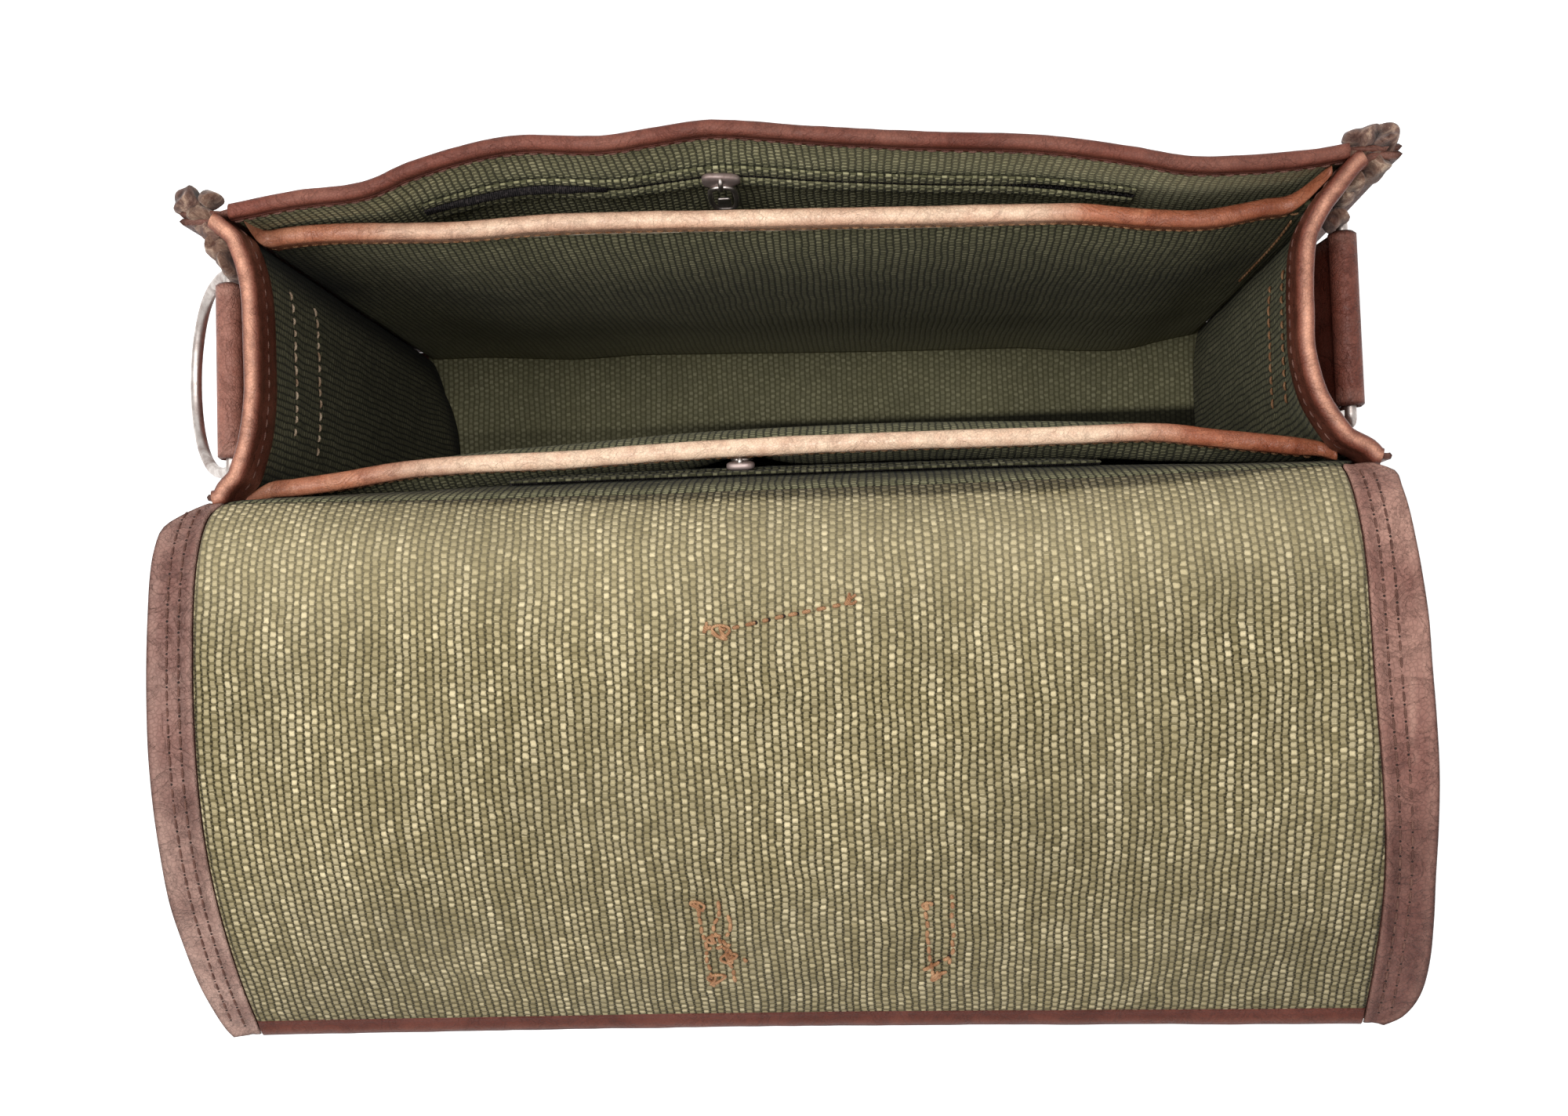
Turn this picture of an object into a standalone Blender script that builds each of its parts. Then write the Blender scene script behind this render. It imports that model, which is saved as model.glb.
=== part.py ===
"""Leather messenger bag standing open, its flap thrown back over the back panel.

Lengths are in metres. X runs along the bag, Y from the back to the front and Z up. The bag is
laid out round the middle of its base, and an empty then brings the middle of the whole
footprint, flap included, to the world's origin.

Every wall is a sheet of even thickness that lies a stated distance off a reference face. The
reference face of the front, the back and the gussets is the side of the leather towards the
inside of the bag.
"""

import math
from collections import namedtuple

import bmesh
import bpy
from mathutils import Matrix, Vector

# Main sizes
HALF_W = 0.190          # from the middle to a side seam
HALF_D = 0.0483         # from the middle to the inner side of the front and back leather
BAG_H = 0.270           # height of the rim
SEAM_W = 0.0145         # how far the side seams stand out
HIDE = 0.0022           # thickness of the leather walls
CLOTH = 0.0010          # thickness of the canvas lining
TRIM = 0.0012           # thickness of the leather of the bindings
GAP = 0.0003            # room between pieces that touch
LINING = GAP + CLOTH    # from the leather to the canvas's free side

# Edge bindings
RIM_LEG = 0.0120        # how far a rim binding reaches down
RIM_FOOT = 0.2575       # above this height the front and the gussets stand straight
DIVIDER_LEG = 0.0075
ROLL = 0.0011           # how far the roll of a binding rises over its legs

# Dividers
DIVIDER_H = 0.249
DIVIDER_T = 0.0020
POCKET_END = 0.0007     # room between a divider's end and the gusset's lining

# Flap
MARGIN_T = 0.0015       # thickness of the strips along the flap's sides
HEM_W = 0.0055          # width of the strip along the flap's free edge

# Zips
ZIP_H = 0.0085
ZIP_T = 0.0013
SLIDER = Vector((0.0095, 0.0035, 0.0070))
PULL = Vector((0.0060, 0.0011, 0.0190))

# Side tabs and their rings
TAB_T = 0.0020
TAB_ROWS = (0.184, 0.190, 0.205, 0.220)     # heights of the part sewn to the gusset
LOOP_Z = 0.2465         # height of the ring's bar
LOOP_R = 0.0028         # inner radius of the loop
RING_WIRE_R = 0.0020
RING_HALF_W = 0.0350    # from the ring's middle to the middle of its side wire
RING_DROP = 0.0400      # from the bar to the lowest point of the bow

RimRow = namedtuple("RimRow", "x bow")
FRONT_RIM = (
    RimRow(-0.190, 0.0000),
    RimRow(-0.165, 0.0040),
    RimRow(-0.141, 0.0062),
    RimRow(-0.124, 0.0125),
    RimRow(-0.102, 0.0180),
    RimRow(-0.086, 0.0196),
    RimRow(-0.060, 0.0182),
    RimRow(-0.042, 0.0202),
    RimRow(-0.022, 0.0220),
    RimRow(0.012, 0.0182),
    RimRow(0.050, 0.0146),
    RimRow(0.085, 0.0120),
    RimRow(0.115, 0.0070),
    RimRow(0.135, 0.0026),
    RimRow(0.155, 0.0020),
    RimRow(0.175, 0.0030),
    RimRow(0.190, 0.0050),
)

BackRow = namedtuple("BackRow", "z middle side")
BACK_WALL = (
    BackRow(0.000, 0.0000, 0.0000),
    BackRow(0.050, 0.0008, 0.0000),
    BackRow(0.120, 0.0028, 0.0000),
    BackRow(0.180, 0.0043, 0.0000),
    BackRow(0.220, 0.0048, 0.0000),
    BackRow(0.240, 0.0036, 0.0000),
    BackRow(0.255, 0.0004, -0.0002),
    BackRow(0.270, -0.0046, -0.0026),
)

GussetRow = namedtuple("GussetRow", "y share")
GUSSET_BOW = (
    GussetRow(-0.048, 0.00),
    GussetRow(-0.041, 0.40),
    GussetRow(-0.033, 0.68),
    GussetRow(-0.025, 0.87),
    GussetRow(-0.012, 1.00),
    GussetRow(0.000, 1.00),
    GussetRow(0.012, 0.98),
    GussetRow(0.025, 0.90),
    GussetRow(0.033, 0.72),
    GussetRow(0.041, 0.42),
    GussetRow(0.048, 0.00),
)

InwardRow = namedtuple("InwardRow", "z left right")
GUSSET_INWARD = (
    InwardRow(0.000, 0.0110, 0.0050),
    InwardRow(0.050, 0.0105, 0.0055),
    InwardRow(0.100, 0.0095, 0.0060),
    InwardRow(0.150, 0.0090, 0.0065),
    InwardRow(0.190, 0.0088, 0.0075),
    InwardRow(0.220, 0.0092, 0.0110),
    InwardRow(0.240, 0.0098, 0.0155),
    InwardRow(RIM_FOOT, 0.0105, 0.0200),
    InwardRow(BAG_H, 0.0105, 0.0200),
)

DividerRow = namedtuple("DividerRow", "x front back")
DIVIDER_TOP = (
    DividerRow(-0.186, 0.0450, -0.0438),
    DividerRow(-0.160, 0.0462, -0.0413),
    DividerRow(-0.138, 0.0456, -0.0382),
    DividerRow(-0.115, 0.0450, -0.0370),
    DividerRow(-0.082, 0.0462, -0.0367),
    DividerRow(-0.040, 0.0456, -0.0351),
    DividerRow(0.000, 0.0446, -0.0344),
    DividerRow(0.042, 0.0436, -0.0342),
    DividerRow(0.080, 0.0428, -0.0344),
    DividerRow(0.105, 0.0420, -0.0344),
    DividerRow(0.132, 0.0390, -0.0346),
    DividerRow(0.152, 0.0382, -0.0375),
    DividerRow(0.170, 0.0410, -0.0400),
    DividerRow(0.186, 0.0429, -0.0425),
)

FallRow = namedtuple("FallRow", "z front back")
DIVIDER_FALL = (
    FallRow(0.0000, -0.0035, -0.0050),
    FallRow(0.0500, -0.0030, 0.0015),
    FallRow(0.1100, -0.0065, 0.0090),
    FallRow(0.1600, -0.0070, 0.0115),
    FallRow(0.2000, -0.0055, 0.0112),
    FallRow(0.2250, -0.0028, 0.0080),
    FallRow(0.2350, -0.0010, 0.0042),
    FallRow(0.2410, 0.0000, 0.0000),
    FallRow(0.2490, 0.0000, 0.0000),
)

FlapRow = namedtuple("FlapRow", "s slope_left slope_middle slope_right left left_in right_in right")
FLAP = (
    FlapRow(0.000, 62, 62, 62, -0.1945, -0.1900, 0.1800, 0.1895),
    FlapRow(0.006, 52, 52, 52, -0.2006, -0.1925, 0.1800, 0.1953),
    FlapRow(0.013, 41.5, 41, 41, -0.2066, -0.1930, 0.1800, 0.1955),
    FlapRow(0.021, 29, 27.5, 28, -0.2077, -0.1930, 0.1800, 0.1958),
    FlapRow(0.030, 16, 14.5, 15, -0.2078, -0.1930, 0.1803, 0.1962),
    FlapRow(0.042, 6.5, 4.5, 5, -0.2077, -0.1930, 0.1806, 0.1972),
    FlapRow(0.056, 1.5, -0.5, 0, -0.2079, -0.1930, 0.1808, 0.1984),
    FlapRow(0.072, 0, -3, -2, -0.2080, -0.1930, 0.1812, 0.1989),
    FlapRow(0.089, -8.5, -11, -9, -0.2081, -0.1930, 0.1822, 0.1999),
    FlapRow(0.106, -15.5, -17.5, -15, -0.2082, -0.1932, 0.1838, 0.2010),
    FlapRow(0.124, -25, -26, -21.5, -0.2085, -0.1935, 0.1855, 0.2017),
    FlapRow(0.142, -31.5, -33, -27.5, -0.2091, -0.1938, 0.1868, 0.2024),
    FlapRow(0.160, -35.5, -37, -31.5, -0.2086, -0.1940, 0.1875, 0.2038),
    FlapRow(0.178, -39.5, -41, -35.5, -0.2079, -0.1942, 0.1878, 0.2048),
    FlapRow(0.193, -42.5, -43.5, -37.5, -0.2066, -0.1943, 0.1880, 0.2039),
    FlapRow(0.203, -43.5, -45, -39.5, -0.2052, -0.1943, 0.1880, 0.2000),
    FlapRow(0.2085, -44.5, -45.5, -40.5, -0.2036, -0.1943, 0.1880, 0.1945),
)

# Heights of the rows of every wall, and the columns between the side seams
WALL_Z = (0.0, 0.050, 0.100, 0.150, 0.190, 0.220, 0.240, RIM_FOOT, BAG_H)
FRONT_X = tuple(row.x for row in FRONT_RIM)
BACK_COLUMNS = 11

# The looks of the materials: base colour, roughness and metallic
LOOKS = {
    "leather": ((0.165, 0.062, 0.045), 0.46, 0.0),
    "binding": ((0.250, 0.085, 0.055), 0.38, 0.0),
    "tan_binding": ((0.480, 0.240, 0.140), 0.36, 0.0),
    "canvas": ((0.110, 0.115, 0.060), 0.90, 0.0),
    "flap_canvas": ((0.190, 0.180, 0.100), 0.90, 0.0),
    "zip": ((0.015, 0.015, 0.014), 0.60, 0.0),
    "nickel": ((0.420, 0.400, 0.370), 0.32, 1.0),
}


def through(rows, key, column, at):
    """Value of a table's column at a place along its key, on a smooth curve through the rows."""
    keys = [getattr(row, key) for row in rows]
    values = [getattr(row, column) for row in rows]
    if at <= keys[0]:
        return values[0]
    if at >= keys[-1]:
        return values[-1]
    i = max(k for k in range(len(keys) - 1) if keys[k] <= at)
    step = keys[i + 1] - keys[i]
    rise = values[i + 1] - values[i]
    before = rise / step
    after = rise / step
    if i > 0:
        before = (values[i + 1] - values[i - 1]) / (keys[i + 1] - keys[i - 1])
    if i < len(keys) - 2:
        after = (values[i + 2] - values[i]) / (keys[i + 2] - keys[i])
    t = (at - keys[i]) / step
    return (
        values[i] * (2 * t**3 - 3 * t**2 + 1)
        + before * step * (t**3 - 2 * t**2 + t)
        + values[i + 1] * (3 * t**2 - 2 * t**3)
        + after * step * (t**3 - t**2)
    )


def material(look):
    name = look
    if name in bpy.data.materials:
        return bpy.data.materials[name]
    colour, roughness, metallic = LOOKS[look]
    made = bpy.data.materials.new(name)
    made.use_nodes = True
    shader = made.node_tree.nodes["Principled BSDF"]
    shader.inputs["Base Color"].default_value = (*colour, 1.0)
    shader.inputs["Roughness"].default_value = roughness
    shader.inputs["Metallic"].default_value = metallic
    return made


def add_object(name, bm, look):
    """Turn a closed bmesh into a named object under the bag's empty."""
    bmesh.ops.recalc_face_normals(bm, faces=bm.faces)
    mesh = bpy.data.meshes.new(name)
    bm.to_mesh(mesh)
    bm.free()
    mesh.shade_smooth()
    mesh.set_sharp_from_angle(angle=math.radians(40))
    made_of = material(look).copy()
    made_of.name = name + "_" + look
    mesh.materials.append(made_of)
    made = bpy.data.objects.new(name, mesh)
    bpy.context.collection.objects.link(made)
    made.parent = bag
    return made


def normals_of(grid):
    """A unit normal at each point of a grid of rows, from the points round it."""
    rows = len(grid)
    columns = len(grid[0])
    normals = []
    for i in range(rows):
        line = []
        for j in range(columns):
            up = grid[min(i + 1, rows - 1)][j] - grid[max(i - 1, 0)][j]
            along = grid[i][min(j + 1, columns - 1)] - grid[i][max(j - 1, 0)]
            line.append(along.cross(up).normalized())
        normals.append(line)
    return normals


def sheet(name, grid, normals, low, high, look):
    """A closed sheet between two distances off a reference grid, along its normals."""
    bm = bmesh.new()
    layers = []
    for off in (low, high):
        layer = []
        for points, ways in zip(grid, normals):
            layer.append([bm.verts.new(p + n * off) for p, n in zip(points, ways)])
        layers.append(layer)
    rows = len(grid)
    columns = len(grid[0])
    for layer in layers:
        for i in range(rows - 1):
            for j in range(columns - 1):
                corners = (layer[i][j], layer[i][j + 1], layer[i + 1][j + 1], layer[i + 1][j])
                bm.faces.new(corners[:3])
                bm.faces.new((corners[0], corners[2], corners[3]))
    ring = [(0, j) for j in range(columns)]
    ring += [(i, columns - 1) for i in range(1, rows)]
    ring += [(rows - 1, j) for j in range(columns - 2, -1, -1)]
    ring += [(i, 0) for i in range(rows - 2, 0, -1)]
    for (i, j), (k, m) in zip(ring, ring[1:] + ring[:1]):
        bm.faces.new((layers[0][i][j], layers[0][k][m], layers[1][k][m], layers[1][i][j]))
    return add_object(name, bm, look)


def part_of(grid, rows, columns):
    """A block of a grid, between two row numbers and two column numbers."""
    return [line[columns[0]:columns[1] + 1] for line in grid[rows[0]:rows[1] + 1]]


def sweep(name, stations, section, look, closed=False):
    """A section carried along stations of a point, a sideways way and an upward way."""
    bm = bmesh.new()
    loops = []
    for point, side, up in stations:
        loops.append([bm.verts.new(point + side * n + up * e) for n, e in section])
    count = len(section)
    pairs = list(zip(loops, loops[1:]))
    if closed:
        pairs.append((loops[-1], loops[0]))
    for first, second in pairs:
        for k in range(count):
            m = (k + 1) % count
            bm.faces.new((first[k], first[m], second[m], second[k]))
    if not closed:
        bm.faces.new(loops[0])
        bm.faces.new(list(reversed(loops[-1])))
    return add_object(name, bm, look)


def binding_section(low, high, leg):
    """A leather strip folded over an edge that reaches from low to high across its thickness."""
    inner_low = low - GAP
    inner_high = high + GAP
    outer_low = inner_low - TRIM
    outer_high = inner_high + TRIM
    middle = (outer_low + outer_high) / 2
    quarter = (outer_high - outer_low) / 4
    top = GAP + TRIM
    return (
        (outer_low, -leg),
        (outer_low, top - ROLL),
        (middle - quarter, top + 0.6 * ROLL),
        (middle, top + ROLL),
        (middle + quarter, top + 0.6 * ROLL),
        (outer_high, top - ROLL),
        (outer_high, -leg),
        (inner_high, -leg),
        (inner_high, GAP),
        (inner_low, GAP),
        (inner_low, -leg),
    )


def front_y(x, z):
    """The inner side of the front leather. It bows and waves more towards the rim."""
    bow = through(FRONT_RIM, "x", "bow", x)
    return HALF_D + bow * min(1.0, z / RIM_FOOT) ** 1.8


def back_y(x, z):
    """The inner side of the back leather, which sinks inwards under the turned-back flap."""
    middle = through(BACK_WALL, "z", "middle", z)
    side = through(BACK_WALL, "z", "side", z)
    share = max(0.0, 1.0 - (abs(x) / HALF_W) ** 2.4)
    return -HALF_D + side + (middle - side) * share


def gusset_x(side, y, z):
    """The inner side of a gusset's leather, side being -1 for the left and 1 for the right."""
    column = "left" if side < 0 else "right"
    inward = through(GUSSET_INWARD, "z", column, z)
    return side * (HALF_W - inward * through(GUSSET_BOW, "y", "share", y))


def gusset_path(side, z):
    """The plan of a gusset at one height: seam margin, hollow side and seam margin."""
    seam_x = (HALF_W + SEAM_W, HALF_W + 0.0065)
    front = front_y(side * HALF_W, z) - GAP
    back = back_y(side * HALF_W, min(z, RIM_FOOT)) + GAP
    points = [(side * x, front) for x in seam_x]
    points.append((side * (HALF_W + 0.0028), front - 0.0009))
    points.append((gusset_x(side, 0.0465, z) + side * 0.0004, front - 0.0036))
    points += [(gusset_x(side, row.y, z), row.y) for row in reversed(GUSSET_BOW[1:-1])]
    points.append((gusset_x(side, -0.0465, z) + side * 0.0004, back + 0.0036))
    points.append((side * (HALF_W + 0.0028), back + 0.0009))
    points += [(side * x, back) for x in reversed(seam_x)]
    return [Vector((x, y, z)) for x, y in points]


for old in list(bpy.data.objects):
    bpy.data.objects.remove(old, do_unlink=True)

bag = bpy.data.objects.new("bag_middle", None)
bpy.context.collection.objects.link(bag)

# Front panel, its lining and its rim
front_columns = (-HALF_W - SEAM_W,) + FRONT_X + (HALF_W + SEAM_W,)
front_grid = [[Vector((x, front_y(x, z), z)) for x in front_columns] for z in WALL_Z]
front_out = [[Vector((0, 1, 0)) for x in front_columns] for z in WALL_Z]
sheet("front_panel", front_grid, front_out, 0.0, HIDE, "leather")

LINING_FOOT = HIDE + GAP + CLOTH + GAP
lining_z = (LINING_FOOT,) + WALL_Z[1:]
lining_x = (-0.1870,) + FRONT_X[1:-1] + (0.1870,)
lining_grid = [[Vector((x, front_y(x, z), z)) for x in lining_x] for z in lining_z]
lining_out = [[Vector((0, 1, 0)) for x in lining_x] for z in lining_z]
sheet("front_lining", lining_grid, lining_out, -LINING, -GAP, "canvas")
rim_stations = [(p, Vector((0, 1, 0)), Vector((0, 0, 1))) for p in lining_grid[-1]]
sweep("front_rim_binding", rim_stations, binding_section(-LINING, HIDE, RIM_LEG), "binding")

# Back panel and flap: one sheet of leather from the base, over the hinge, to the flap's edge
wall_left = (-HALF_W - SEAM_W, -0.1870)
wall_right = (0.1870, HALF_W + SEAM_W)


def spread(left, left_in, right_in, right):
    """Places of the back sheet's columns, evenly spaced between the two inner ones."""
    inner = [left_in + (right_in - left_in) * k / (BACK_COLUMNS - 1) for k in range(BACK_COLUMNS)]
    return [left] + inner + [right]


back_grid = []
for z in WALL_Z[:-1]:
    narrow = 0.0035 if z == RIM_FOOT else 0.0
    places = spread(wall_left[0] + narrow, wall_left[1], wall_right[0], wall_right[1] - narrow)
    back_grid.append([Vector((x, back_y(x, z), z)) for x in places])
wall_rows = len(back_grid)
columns = BACK_COLUMNS + 2
runs = [0.0] * columns
drops = [0.0] * columns
for number, row in enumerate(FLAP):
    places = spread(row.left, row.left_in, row.right_in, row.right)
    line = []
    for k, x in enumerate(places):
        share = k / (columns - 1)
        if number > 0:
            last = FLAP[number - 1]
            turn = [
                r.slope_left * (1 - 2 * share) * (1 - share) + r.slope_middle * 4 * share * (1 - share)
                + r.slope_right * share * (2 * share - 1) for r in (last, row)
            ]
            angle = math.radians(sum(turn) / 2)
            runs[k] += math.cos(angle) * (row.s - last.s)
            drops[k] += math.sin(angle) * (row.s - last.s)
        line.append(Vector((x, back_y(x, BAG_H) - runs[k], BAG_H + drops[k])))
    back_grid.append(line)
back_in = [[-way for way in line] for line in normals_of(back_grid)]
sheet("back_panel_and_flap", back_grid, back_in, -HIDE, 0.0, "leather")

last_row = len(back_grid) - 1
back_lining_rows = (0, wall_rows)
back_lining = [list(line) for line in part_of(back_grid, back_lining_rows, (1, columns - 2))]
back_lining[0] = [Vector((p.x, back_y(p.x, LINING_FOOT), LINING_FOOT)) for p in back_lining[0]]
back_lining_in = part_of(back_in, back_lining_rows, (1, columns - 2))
back_lining[-1] = [
    low.lerp(high, 0.96) for low, high in zip(back_lining[-2], back_lining[-1])
]
sheet("back_lining", back_lining, back_lining_in, GAP, LINING, "canvas")

hem_at = 1.0 - HEM_W / (FLAP[-1].s - FLAP[-2].s)
flap_top = [a.lerp(b, hem_at) for a, b in zip(back_grid[-2], back_grid[-1])]
flap_edge = [list(line) for line in back_grid[wall_rows:last_row]] + [flap_top]
flap_in = [list(line) for line in back_in[wall_rows:last_row]] + [back_in[-1]]
flap_lining = []
for line in flap_edge:
    inner = list(line[1:-1])
    inner[0] = inner[0] + (inner[1] - inner[0]).normalized() * GAP
    inner[-1] = inner[-1] + (inner[-2] - inner[-1]).normalized() * GAP
    flap_lining.append(inner)
flap_lining_in = [line[1:-1] for line in flap_in]
sheet("flap_lining", flap_lining, flap_lining_in, GAP, LINING, "flap_canvas")

strip_low = GAP
strip_high = GAP + MARGIN_T
left_strip = [line[:2] for line in back_grid[wall_rows + 1:]]
left_in = [line[:2] for line in back_in[wall_rows + 1:]]
sheet("flap_margin_left", left_strip, left_in, strip_low, strip_high, "leather")
right_strip = [line[-2:] for line in back_grid[wall_rows + 1:]]
right_in = [line[-2:] for line in back_in[wall_rows + 1:]]
sheet("flap_margin_right", right_strip, right_in, strip_low, strip_high, "leather")

hem_start = [a.lerp(b, hem_at + GAP / (FLAP[-1].s - FLAP[-2].s)) for a, b in zip(*back_grid[-2:])]
hem_grid = []
for line in (hem_start, back_grid[-1]):
    inner = list(line[1:-1])
    inner[0] = inner[0] + (inner[1] - inner[0]).normalized() * GAP
    inner[-1] = inner[-1] + (inner[-2] - inner[-1]).normalized() * GAP
    hem_grid.append(inner)
hem_in = [back_in[-1][1:-1], back_in[-1][1:-1]]
sheet("flap_hem", hem_grid, hem_in, strip_low, strip_high, "leather")

# Base panel and floor lining
GUSSET_Y = [row.y for row in GUSSET_BOW]
BINDING_END = 0.6       # how far along its last stretch a gusset's binding ends


def slab(name, outline, low, high, look):
    """A flat plate with the given outline between two heights."""
    bm = bmesh.new()
    bottom = [bm.verts.new((x, y, low)) for x, y in outline]
    top = [bm.verts.new((x, y, high)) for x, y in outline]
    bm.faces.new(bottom)
    bm.faces.new(top)
    for k in range(len(outline)):
        m = (k + 1) % len(outline)
        bm.faces.new((bottom[k], bottom[m], top[m], top[k]))
    return add_object(name, bm, look)


base_y = HALF_D - GAP
base_x = HALF_W + 0.0020
base_outline = ((-base_x, -base_y), (base_x, -base_y), (base_x, base_y), (-base_x, base_y))
slab("base_panel", base_outline, 0.0, HIDE, "leather")
floor_y = [y for y in GUSSET_Y if abs(y) < 0.045]
floor_end = HALF_D - GAP
floor_left = [(gusset_x(-1, y, 0.0) + GAP, y) for y in floor_y]
floor_right = [(gusset_x(1, y, 0.0) - GAP, y) for y in reversed(floor_y)]
floor_outline = [(-0.1850, floor_end)] + list(reversed(floor_left)) + [(-0.1850, -floor_end)]
floor_outline += [(0.1850, -floor_end)] + list(reversed(floor_right)) + [(0.1850, floor_end)]
slab("floor_lining", floor_outline, HIDE + GAP, HIDE + LINING, "canvas")

# Gussets with their linings and bindings
gusset_z = (HIDE + GAP,) + WALL_Z[1:]
for side, word in ((-1, "left"), (1, "right")):
    grid = [gusset_path(side, z) for z in gusset_z]
    ways = normals_of(grid)
    middle = len(grid[0]) // 2
    if ways[0][middle].x * side < 0:
        ways = [[-way for way in line] for line in ways]
    ways = [[Vector((way.x, way.y, 0)).normalized() for way in line] for line in ways]
    sheet("gusset_" + word, grid, ways, 0.0, HIDE, "leather")
    inside = (3, len(grid[0]) - 4)
    low_line = [p.copy() for p in grid[0]]
    for p in low_line:
        p.z = LINING_FOOT
    lined = [low_line[inside[0]:inside[1] + 1]] + part_of(grid, (1, len(grid) - 1), inside)
    lined_ways = part_of(ways, (0, len(grid) - 1), inside)
    sheet("gusset_lining_" + word, lined, lined_ways, -LINING, -GAP, "canvas")
    edge = list(lined[-1])
    edge[0] = edge[1].lerp(edge[0], BINDING_END)
    edge[-1] = edge[-2].lerp(edge[-1], BINDING_END)
    edge_ways = list(lined_ways[-1])
    edge_ways[0] = edge_ways[1]
    edge_ways[-1] = edge_ways[-2]
    stations = [(p, way, Vector((0, 0, 1))) for p, way in zip(edge, edge_ways)]
    section = binding_section(-LINING, HIDE, RIM_LEG)
    sweep("gusset_binding_" + word, stations, section, "binding")


def divider(word, column, way):
    """A pocket wall between the gussets, with a strip folded over its upper edge."""
    heights = [LINING_FOOT] + [row.z for row in DIVIDER_FALL[1:]]
    places = [row.x for row in DIVIDER_TOP]
    grid = []
    for z in heights:
        fall = through(DIVIDER_FALL, "z", column, z)
        line = []
        for x in places:
            share = max(0.0, 1.0 - (abs(x) / 0.186) ** 3)
            y = through(DIVIDER_TOP, "x", column, x) + fall * share
            end = gusset_x(math.copysign(1, x), y, z)
            reach = abs(end) - LINING - POCKET_END - DIVIDER_T * 0.4
            line.append(Vector((x * reach / 0.186, y, z)))
        grid.append(line)
    out = [[Vector((0, 1, 0)) for p in line] for line in grid]
    sheet("divider_" + word, grid, out, -DIVIDER_T / 2, DIVIDER_T / 2, "canvas")
    edge = list(grid[-1])
    edge[0] = edge[0].lerp(edge[1], 0.06)
    edge[-1] = edge[-1].lerp(edge[-2], 0.06)
    stations = [(p, Vector((0, 1, 0)), Vector((0, 0, 1))) for p in edge]
    section = binding_section(-DIVIDER_T / 2, DIVIDER_T / 2, DIVIDER_LEG)
    sweep("divider_" + word + "_binding", stations, section, "tan_binding")


divider("front", "front", 1)
divider("back", "back", -1)


# Zips on the front and back linings
def zip_on(word, face, facing, middle_z, lift, x_from, x_to, slider_x):
    """A zip band laid on a lining, with a slider and its pull. facing is the way out of the wall."""
    places = [x for x in FRONT_X if x_from < x < x_to]
    places = [x_from] + places + [x_to]

    def height(x):
        return middle_z + lift * (x / 0.12) ** 2

    grid = []
    for part in (-0.5, 0.5):
        line = []
        for x in places:
            z = height(x) + part * ZIP_H
            line.append(Vector((x, face(x, z), z)))
        grid.append(line)
    out = [[Vector((0, facing, 0)) for p in line] for line in grid]
    low = LINING + 2 * GAP
    sheet("zip_band_" + word, grid, out, low, low + ZIP_T, "zip")
    z = height(slider_x)
    lean = (face(slider_x, z + 0.004) - face(slider_x, z - 0.004)) / 0.008
    turn = (face(slider_x + 0.005, z) - face(slider_x - 0.005, z)) / 0.010
    out_of = Vector((-turn * facing, facing, -lean * facing)).normalized()
    down = Vector((0, -lean, -1)).normalized()
    centre = Vector((slider_x, face(slider_x, z), z))
    centre += out_of * (low + ZIP_T + GAP + SLIDER.y / 2 + 0.0002)
    block("zip_slider_" + word, centre, SLIDER, math.atan(-lean), math.atan(turn), "nickel")
    centre += down * (SLIDER.z / 2 + GAP + PULL.z / 2)
    block("zip_pull_" + word, centre, PULL, math.atan(-lean), math.atan(turn), "nickel")


def block(name, centre, size, lean, turn, look):
    """A small box with rounded corners, leaning by an angle about X and turned about Z."""
    bm = bmesh.new()
    bmesh.ops.create_cube(bm, size=1.0)
    for vert in bm.verts:
        vert.co = Vector((vert.co.x * size.x, vert.co.y * size.y, vert.co.z * size.z))
    edges = [e for e in bm.edges if abs((e.verts[0].co - e.verts[1].co).y) > size.y / 2]
    bmesh.ops.bevel(bm, geom=edges, offset=size.x * 0.22, segments=2, affect="EDGES", profile=0.5)
    for vert in bm.verts:
        vert.co = Matrix.Rotation(turn, 3, "Z") @ Matrix.Rotation(lean, 3, "X") @ vert.co + centre
    return add_object(name, bm, look)


zip_on("front", front_y, -1, 0.2360, 0.0012, -0.128, 0.124, -0.0225)
zip_on("back", back_y, 1, 0.2440, 0.0, -0.098, 0.106, -0.0180)


# Side tabs and rings
def between(places, at):
    """The two neighbours of a value in a rising list, and how far it lies between them."""
    k = max(i for i in range(len(places) - 1) if places[i] <= at)
    return places[k], places[k + 1], (at - places[k]) / (places[k + 1] - places[k])


def gusset_out(side, y, z):
    """The outer side of a gusset's leather, flat between the wall's own rows and columns."""
    y_low, y_high, y_share = between(GUSSET_Y, y)
    z_low, z_high, z_share = between(WALL_Z, z)
    low = abs(gusset_x(side, y_low, z_low)) * (1 - y_share)
    low += abs(gusset_x(side, y_high, z_low)) * y_share
    high = abs(gusset_x(side, y_low, z_high)) * (1 - y_share)
    high += abs(gusset_x(side, y_high, z_high)) * y_share
    return low * (1 - z_share) + high * z_share + HIDE


def tab_path(side, y, loop_x):
    """The folded strip's middle line at one place along its width, from end to end."""
    inner = GAP + TAB_T / 2 + 0.0003
    outer = inner + TAB_T + GAP
    wall = [(gusset_out(side, y, z), z) for z in TAB_ROWS]
    radius = LOOP_R + TAB_T / 2
    points = [(x + inner, z) for x, z in wall]
    start = math.radians(215)
    sweep_angle = math.radians(-290)
    steps = 9
    for k in range(steps + 1):
        angle = start + sweep_angle * k / steps
        points.append((loop_x + math.cos(angle) * radius, LOOP_Z + math.sin(angle) * radius))
    points += [(x + outer, z) for x, z in reversed(wall)]
    return [Vector((side * x, y, z)) for x, z in points]


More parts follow.
